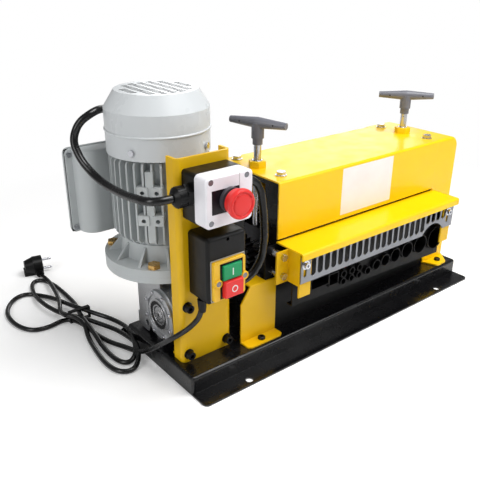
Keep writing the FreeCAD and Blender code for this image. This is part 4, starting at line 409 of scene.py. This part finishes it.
cowl_tree.links.new(place_of(cowl_tree), level.inputs[0])
below_top = remap(cowl_tree, level.outputs["Z"], 1, 0,
                  cowl_top - SHEET_UNDER * MM, cowl_top - SHEET_OVER * MM)
not_slot = node(cowl_tree, "ShaderNodeMath", operation="MAXIMUM")
cowl_tree.links.new(remap(cowl_tree, lean.outputs["Z"], 0, 1, 0.3, 0.5), not_slot.inputs[0])
cowl_tree.links.new(below_top, not_slot.inputs[1])
skin = node(cowl_tree, "ShaderNodeMath", operation="MULTIPLY")
cowl_tree.links.new(remap(cowl_tree, facing.outputs["Value"], 0, 1, -0.002, 0.012), skin.inputs[0])
cowl_tree.links.new(not_slot.outputs[0], skin.inputs[1])
unshaded_mask = skin.outputs[0]
# The outer skin keeps its grey; inside and on the slots' walls the painted shade takes over, with little
# shine.
outer_tint = cowl_shader.inputs["Base Color"].links[0].from_socket
cowl_tree.links.new(blend_colors(cowl_tree, unshaded_mask, COWL_INSIDE_SHADE, outer_tint),
                    cowl_shader.inputs["Base Color"])
cowl_tree.links.new(remap(cowl_tree, unshaded_mask, 0, 0.4, 0, 1), cowl_shader.inputs["Specular IOR Level"])


# ---------------------------------------------------------------- mesh kit
# Shapes are made in millimetres around their own Z axis; FRONT and LEFT turn that axis to
# the machine's front and left sides.
FRONT = Matrix.Rotation(math.radians(90), 4, "X")
LEFT = Matrix.Rotation(math.radians(-90), 4, "Y")


def at(x, y, z, turn=None):
    """Place of a shape, with a turn of its own made first."""
    place = Matrix.Translation((x, y, z))
    return place @ turn if turn else place


def heading(degrees):
    """Turn about the vertical."""
    return Matrix.Rotation(math.radians(degrees), 4, "Z")


def lathe(profile, steps):
    """Profile of (radius, height) pairs spun around Z."""
    shape = bmesh.new()
    corners = [shape.verts.new((radius, 0, height)) for radius, height in profile]
    sides = [shape.edges.new(pair) for pair in zip(corners, corners[1:])]
    bmesh.ops.spin(shape, geom=corners + sides, cent=(0, 0, 0), axis=(0, 0, 1),
                   angle=math.tau, steps=steps, use_merge=True)
    bmesh.ops.remove_doubles(shape, verts=shape.verts[:], dist=1e-5)
    bmesh.ops.recalc_face_normals(shape, faces=shape.faces[:])
    return shape


def disc_of(radius, height, edge=0.3, steps=32):
    """Round button shape with a softened front edge."""
    return lathe([(0, 0), (radius, 0), (radius, height - edge), (radius - edge * 0.3, height - edge * 0.3),
                  (radius - edge, height), (0, height)], steps)


def tube_ring(outer, inner, height, edge=0.3, steps=40):
    """Ring with softened front edges."""
    return lathe([(inner, 0), (outer, 0), (outer, height - edge), (outer - edge, height),
                  (inner + edge, height), (inner, height - edge), (inner, 0)], steps)


def block(size, radius=0.0, upright=False):
    """Box on its middle, with all edges or only the upright ones rounded."""
    shape = bmesh.new()
    bmesh.ops.create_cube(shape, size=1)
    bmesh.ops.scale(shape, vec=size, verts=shape.verts[:])
    if radius:
        chosen = [edge for edge in shape.edges
                  if not upright or abs(edge.verts[0].co.z - edge.verts[1].co.z) > size[2] * 0.9]
        bmesh.ops.bevel(shape, geom=chosen, offset=radius, segments=3, profile=0.5,
                        affect="EDGES", material=-1)
    return shape


def hexagon(radius, height, edge):
    """Nut that stands on its base, its top edges cut by a small bevel."""
    shape = bmesh.new()
    bmesh.ops.create_cone(shape, cap_ends=True, segments=6, radius1=radius, radius2=radius,
                          depth=height)
    bmesh.ops.translate(shape, vec=(0, 0, height / 2), verts=shape.verts[:])
    top = [item for item in shape.edges if all(v.co.z > height * 0.99 for v in item.verts)]
    bmesh.ops.bevel(shape, geom=top, offset=edge, segments=2, profile=0.5, affect="EDGES",
                    material=-1)
    return shape


SMOOTH_ANGLE = 35


def gather(name, parts, material, body="base"):
    """Several placed shapes, each a (shape, place) pair, joined in one piece."""
    whole = bmesh.new()
    for shape, place in parts:
        shape.transform(place)
        passing = bpy.data.meshes.new("passing")
        shape.to_mesh(passing)
        shape.free()
        whole.from_mesh(passing)
        bpy.data.meshes.remove(passing)
    bmesh.ops.scale(whole, vec=(MM, MM, MM), verts=whole.verts[:])
    mesh = bpy.data.meshes.new(name)
    whole.to_mesh(mesh)
    whole.free()
    mesh.shade_smooth()
    mesh.set_sharp_from_angle(angle=math.radians(SMOOTH_ANGLE))
    return add(name, mesh, material, body)


def add(name, mesh, material, body="base"):
    """A finished mesh or curve becomes a piece that rides on a body."""
    piece = bpy.data.objects.new(name, mesh)
    scene.collection.objects.link(piece)
    mesh.materials.append(material)
    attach(piece, body)
    return piece


# ---------------------------------------------------------------- power cord
# From the switch box down over the tray's edge and along the floor, folded to and fro into
# the hank, round the big loop, through the tie and out to the plug.
CORD_RADIUS = 4
CORD = [
    (-291, -80, 146), (-291, -80, 122), (-304, -72, 101), (-322, -58, 84), (-329, -30, 60),
    (-332, 2, 34), (-335, 34, 12), (-341, 74, 4.2), (-354, 102, 4.2), (-361, 136, 4.2),
    (-364, 172, 6), (-372, 206, 4.2), (-388, 214, 4.2), (-415, 206, 4.2), (-444, 214, 4.2),
    (-459, 252, 4.2), (-457, 300, 4.2), (-432, 338, 4.2), (-404, 348, 4.2), (-382, 322, 4.2),
    (-368, 286, 8), (-362, 250, 12), (-354, 212, 18), (-336, 192, 10), (-318, 168, 4.6),
    (-311, 134, 6), (-316, 98, 13), (-328, 62, 16), (-340, 36, 12), (-356, 28, 4.4),
    (-369, 44, 4.2), (-370, 90, 4.2), (-365, 140, 12.4), (-362, 180, 14), (-356, 214, 10),
    (-345, 250, 4.2), (-344, 300, 4.2), (-346, 352, 4.2), (-358, 386, 4.2), (-378, 382, 4.2),
    (-391, 340, 4.2), (-397, 296, 12), (-393, 254, 12), (-380, 214, 12), (-362, 190, 12.4),
    (-344, 160, 8), (-328, 126, 6), (-324, 90, 8), (-330, 48, 18), (-346, 18, 8),
    (-364, 8, 4.2), (-382, 20, 4.2), (-387, 52, 4.2), (-383, 92, 4.2), (-376, 136, 4.2),
    (-366, 166, 12.4), (-374, 190, 19), (-386, 204, 18), (-384, 230, 14), (-370, 262, 12.4),
    (-361, 300, 12.4), (-354, 345, 12.4), (-351, 375, 8), (-351.5, 399, 7),
]


def cable(name, points, radius, material):
    """Round cable along one smooth spline through its route's control points."""
    data = bpy.data.curves.new(name, "CURVE")
    data.dimensions = "3D"
    spline = data.splines.new("NURBS")
    spline.points.add(len(points) - 1)
    for point, place in zip(spline.points, points):
        point.co = (*mm(*place), 1)
    spline.order_u = 3
    spline.use_endpoint_u = True
    spline.resolution_u = 8
    data.bevel_depth = radius * MM
    data.bevel_resolution = 5
    data.use_fill_caps = True
    return add(name, data, material)


power_cord = cable("power_lead", CORD, CORD_RADIUS, rubber)
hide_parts("power_cord", "cord_hank")


# ---------------------------------------------------------------- emergency stop
# The push button is turned as one shape with a rolled rim, and its grip groove is broken by
# three bridges; the black plate behind it stays without words.
BUTTON_PROFILE = [
    (0, 0), (17.6, 0), (18.4, 4), (19.6, 7.6), (20.4, 9.8), (20.5, 12.4), (20.2, 14.4),
    (19.3, 15.9), (18, 16.6), (16.9, 16.5), (15.9, 15.7), (15.5, 14.9), (14.6, 14.9),
    (14.1, 15.6), (13.2, 16.1), (11, 16.3), (0, 16.5),
]
BRIDGE_SIZE = (3.2, 4.2, 2)
BRIDGE_RADIUS, BRIDGE_HEIGHT = 15.2, 15.1
BRIDGE_TURNS = (20, 140, 260)
PLATE_SIZE = (44, 32.6, 0.7)
SEAM_SIZE = (0.5, 17, 0.3)
head_back = box_of("estop_mushroom")[1].y
head_middle = box_of("estop_mushroom")[2]
cover_face = box_of("estop_cover")[0].y
cover_middle = box_of("estop_cover")[2]
head_place = at(head_middle.x, head_back, head_middle.z, FRONT)
plate_place = at(cover_middle.x - 6.6, cover_face + 0.4, cover_middle.z + 0.5, FRONT)
seam_place = at(cover_middle.x + 15.6, cover_face, cover_middle.z + 25.6, FRONT)

button = [(lathe(BUTTON_PROFILE, 72), head_place)]
for turn in BRIDGE_TURNS:
    bridge_place = head_place @ heading(turn) @ at(BRIDGE_RADIUS, 0, BRIDGE_HEIGHT)
    button.append((block(BRIDGE_SIZE, 0.6), bridge_place))
mushroom = gather("stop_button", button, red_plastic, "stop_head")
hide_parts("estop_mushroom")
gather("stop_plate", [(block(PLATE_SIZE, 0.8, True), plate_place)], plate_black)
gather("stop_seam", [(block(SEAM_SIZE), seam_place)], seam_grey)


# ---------------------------------------------------------------- start and stop switch
# Marks on the two keys, a black frame around them, round ears under the two screws and the
# pale seal that shows behind the yellow frame.
ON_MARK = (1.8, 10.5, 0.4)
OFF_MARK_OUTER, OFF_MARK_INNER = 5.2, 3.7
FRAME_BARS = ((152.6, 154.5), (179.9, 180.6), (203.4, 206.2))
FRAME_WIDTH, FRAME_DEPTH, FRAME_SOFT = 39, 0.7, 0.15
FRAME_SIDE = (3.4, 53.6, FRAME_DEPTH)
FRAME_SIDE_X, FRAME_SIDE_Z = 17.8, 179.4
EAR_OUTER, EAR_INNER, EAR_HEIGHT = 6.2, 4.1, 3.4
EAR_X, EAR_Z = (-283, -237.5), 178
SEAL_WIDTH, SEAL_DEPTH, SEAL_SOFT = 1.6, 1.2, 0.3
green_face, green_middle = box_of("green_button")[0].y, box_of("green_button")[2]
red_face, red_middle = box_of("red_button")[0].y, box_of("red_button")[2]
bezel_low, bezel_high, bezel_middle = box_of("switch_bezel")

gather("on_mark", [(block(ON_MARK, 0.1), at(green_middle.x, green_face, green_middle.z, FRONT))],
       mark_white, "green_key")
off_ring = tube_ring(OFF_MARK_OUTER, OFF_MARK_INNER, 0.3, 0.1)
gather("off_mark", [(off_ring, at(red_middle.x, red_face, red_middle.z - 0.25, FRONT))],
       mark_white, "red_key")
bars = []
frame_face = bezel_low.y - 0.1
for low, high in FRAME_BARS:
    bar = block((FRAME_WIDTH, high - low, FRAME_DEPTH), FRAME_SOFT)
    bars.append((bar, at(green_middle.x, frame_face, (low + high) / 2, FRONT)))
for side in (-1, 1):
    bar_place = at(green_middle.x + side * FRAME_SIDE_X, frame_face, FRAME_SIDE_Z, FRONT)
    bars.append((block(FRAME_SIDE, FRAME_SOFT), bar_place))
gather("key_frame", bars, black_plastic)
ears = [(tube_ring(EAR_OUTER, EAR_INNER, EAR_HEIGHT, 0.9), at(x, bezel_low.y + 0.4, EAR_Z, FRONT))
        for x in EAR_X]
gather("switch_ears", ears, yellow_plastic)
seal = []
seal_y = bezel_high.y - 0.6
seal_length = bezel_high.x - bezel_low.x + 2.4
for z in (bezel_low.z - 0.9, bezel_high.z + 0.9):
    strip = block((seal_length, SEAL_WIDTH, SEAL_DEPTH), SEAL_SOFT)
    seal.append((strip, at(bezel_middle.x, seal_y, z, FRONT)))
for x in (bezel_low.x - 0.8, bezel_high.x + 0.8):
    strip = block((SEAL_WIDTH, bezel_high.z - bezel_low.z, SEAL_DEPTH), SEAL_SOFT)
    seal.append((strip, at(x, seal_y, bezel_middle.z, FRONT)))
gather("switch_seal", seal, seal_grey)


# ---------------------------------------------------------------- adjusters
# Dark discs as painted shade in the holes of both T-handles; the cover's yellow painted as a reflection on
# the lock nuts, with a bright washer on top.
BAR_HEIGHT = 352
DOT_ALONG = 30
DOT_RADIUS, DOT_REACH = 1.4, 7.1
NUT_RADIUS, NUT_HEIGHT = 14.7, 10.6
WASHER_OUTER, WASHER_INNER, WASHER_HEIGHT = 8.4, 6.3, 1.4
cover_top = box_of("main_cover")[1].z
screw_places = []
for hand, turn in (("left", -70.5), ("right", -49.4)):
    middle = box_of(hand + "_screw")[2]
    screw_places.append(middle)
    # Each hole's painted shade is a dark disc on both sides of the bar.
    hole_shades = []
    for along in (-DOT_ALONG, DOT_ALONG):
        spot = at(middle.x, middle.y, BAR_HEIGHT) @ heading(turn) @ at(along, 0, 0)
        for degrees in (-90, 90):
            side = Matrix.Rotation(math.radians(degrees), 4, "X")
            hole_shades.append((disc_of(DOT_RADIUS, DOT_REACH, 0.2, 16), spot @ side))
    gather(hand + "_adjuster_hole_shade", hole_shades, painted_hole_shade, hand + "_adjuster")
# Yellow sleeves in the cover's paint over the steel lock nuts: a painted reflection of the yellow cover in
# them.
nuts = [(hexagon(NUT_RADIUS, NUT_HEIGHT, 0.8), at(place.x, place.y, cover_top) @ heading(30))
        for place in screw_places]
gather("lock_nut_reflection", nuts, yellow)
washers = [(tube_ring(WASHER_OUTER, WASHER_INNER, WASHER_HEIGHT),
            at(place.x, place.y, cover_top + NUT_HEIGHT - 0.2)) for place in screw_places]
gather("lock_washers", washers, zinc)


# ---------------------------------------------------------------- gearbox and motor
# Cover screws and seal rings around the output shaft, painted shade in its bore, and the gasket of the
# capacitor box, dark also as painted shade of the gap round the lid.
HUB_SCREWS, HUB_SCREW_CIRCLE = 8, 36
HUB_SCREW_RADIUS, HUB_SCREW_HEIGHT = 3.2, 2.4
SHAFT_END_RADIUS, SHAFT_CENTRE_RADIUS = 6.4, 2.6
# Outer and inner radius of each ring, its height, and how deep its back lies under the face.
HUB_RINGS = ((24.2, 22.6, 1.2, 0.6), (16.8, 14.2, 1.3, 1.6))
hub_face = box_of("gearbox_housing")[0].x
shaft_middle = box_of("worm_wheel")[2]


def on_hub(depth, across=0, up=0):
    """Place on the gearbox's left face, from the output shaft's axis; depth goes inwards."""
    return at(hub_face + depth, shaft_middle.y + across, shaft_middle.z + up, LEFT)


screws = []
for index in range(HUB_SCREWS):
    angle = math.tau * (index + 0.5) / HUB_SCREWS
    spot = on_hub(0, HUB_SCREW_CIRCLE * math.cos(angle), HUB_SCREW_CIRCLE * math.sin(angle))
    screws.append((disc_of(HUB_SCREW_RADIUS, HUB_SCREW_HEIGHT, 0.5, 20), spot))
gather("hub_screws", screws, zinc)
rings = [(tube_ring(outer, inner, height), on_hub(depth)) for outer, inner, height, depth in HUB_RINGS]
rings.append((disc_of(SHAFT_END_RADIUS, 1.0), on_hub(1.6)))
gather("shaft_rings", rings, steel)
# A dark disc deep in the output shaft's bore, as painted shade.
gather("shaft_bore_shade", [(disc_of(SHAFT_CENTRE_RADIUS, 1.2, 0.2, 20), on_hub(1.5))], painted_hole_shade)

# The black strips round the capacitor lid are a rubber gasket and also the painted shade of the gap there.
GASKET_THICK, GASKET_SOFT = 1.4, 0.2
box_low, box_high, box_middle = box_of("capacitor_box")
gasket_y = box_high.y - 0.1
gasket = []
for z in (box_low.z + 1, box_high.z - 1):
    strip = block((box_high.x - box_low.x + 0.8, GASKET_THICK, 2), GASKET_SOFT)
    gasket.append((strip, at(box_middle.x, gasket_y, z)))
for x in (box_low.x + 0.4, box_high.x - 0.4):
    strip = block((2, GASKET_THICK, box_high.z - box_low.z - 4), GASKET_SOFT)
    gasket.append((strip, at(x, gasket_y, box_middle.z)))
gather("box_gasket_and_gap_shade", gasket, rubber)


# ---------------------------------------------------------------- glands
# Grip ribs around the domed nuts of the two glands at the stop box: each nut's middle along X,
# its radius and the length of its ribs.
GLAND_Y, GLAND_Z = -72, 301
GLAND_NUTS = ((-317.2, 14, 11.4), (-215.5, 11, 4.6))
GLAND_RIBS, RIB_WIDTH, RIB_HEIGHT = 18, 1.3, 1.2
ribs = []
for x, radius, length in GLAND_NUTS:
    for index in range(GLAND_RIBS):
        around = Matrix.Rotation(math.tau * index / GLAND_RIBS, 4, "X")
        spot = at(x, GLAND_Y, GLAND_Z) @ around @ at(0, 0, radius)
        ribs.append((block((length, RIB_WIDTH, RIB_HEIGHT), 0.3), spot))
gather("gland_ribs", ribs, black_plastic)


# ---------------------------------------------------------------- plug
# Bend relief rings around the plug's neck, each a little smaller than the one before. The
# plug's own frame has its pins along X and is turned on the floor.
PLUG_PLACE = at(-339, 422, 0) @ heading(-12.3)
NECK_BACK = Matrix.Rotation(math.radians(-90), 4, "X")
NECK_X, NECK_START, NECK_Z = -8, -24, 7.7
NECK_RADIUS, NECK_TAPER, NECK_BORE, RING_HEIGHT = 7.6, 0.09, 4.4, 2.2
rings = []
for along in range(1, 15, 4):
    ring = tube_ring(NECK_RADIUS - NECK_TAPER * along, NECK_BORE, RING_HEIGHT, 0.5, 28)
    rings.append((ring, PLUG_PLACE @ at(NECK_X, NECK_START + along, NECK_Z) @ NECK_BACK))
gather("plug_rings", rings, black_plastic)


# ---------------------------------------------------------------- blank sticker on the cover
STICKER_SIZE = (126, 80, 0.24)
STICKER_X, STICKER_Z = 63, 236
sticker_place = at(STICKER_X, box_of("main_cover")[0].y - 0.05, STICKER_Z, FRONT)
gather("cover_sticker", [(block(STICKER_SIZE, 1.2, True), sticker_place)], sticker_white)
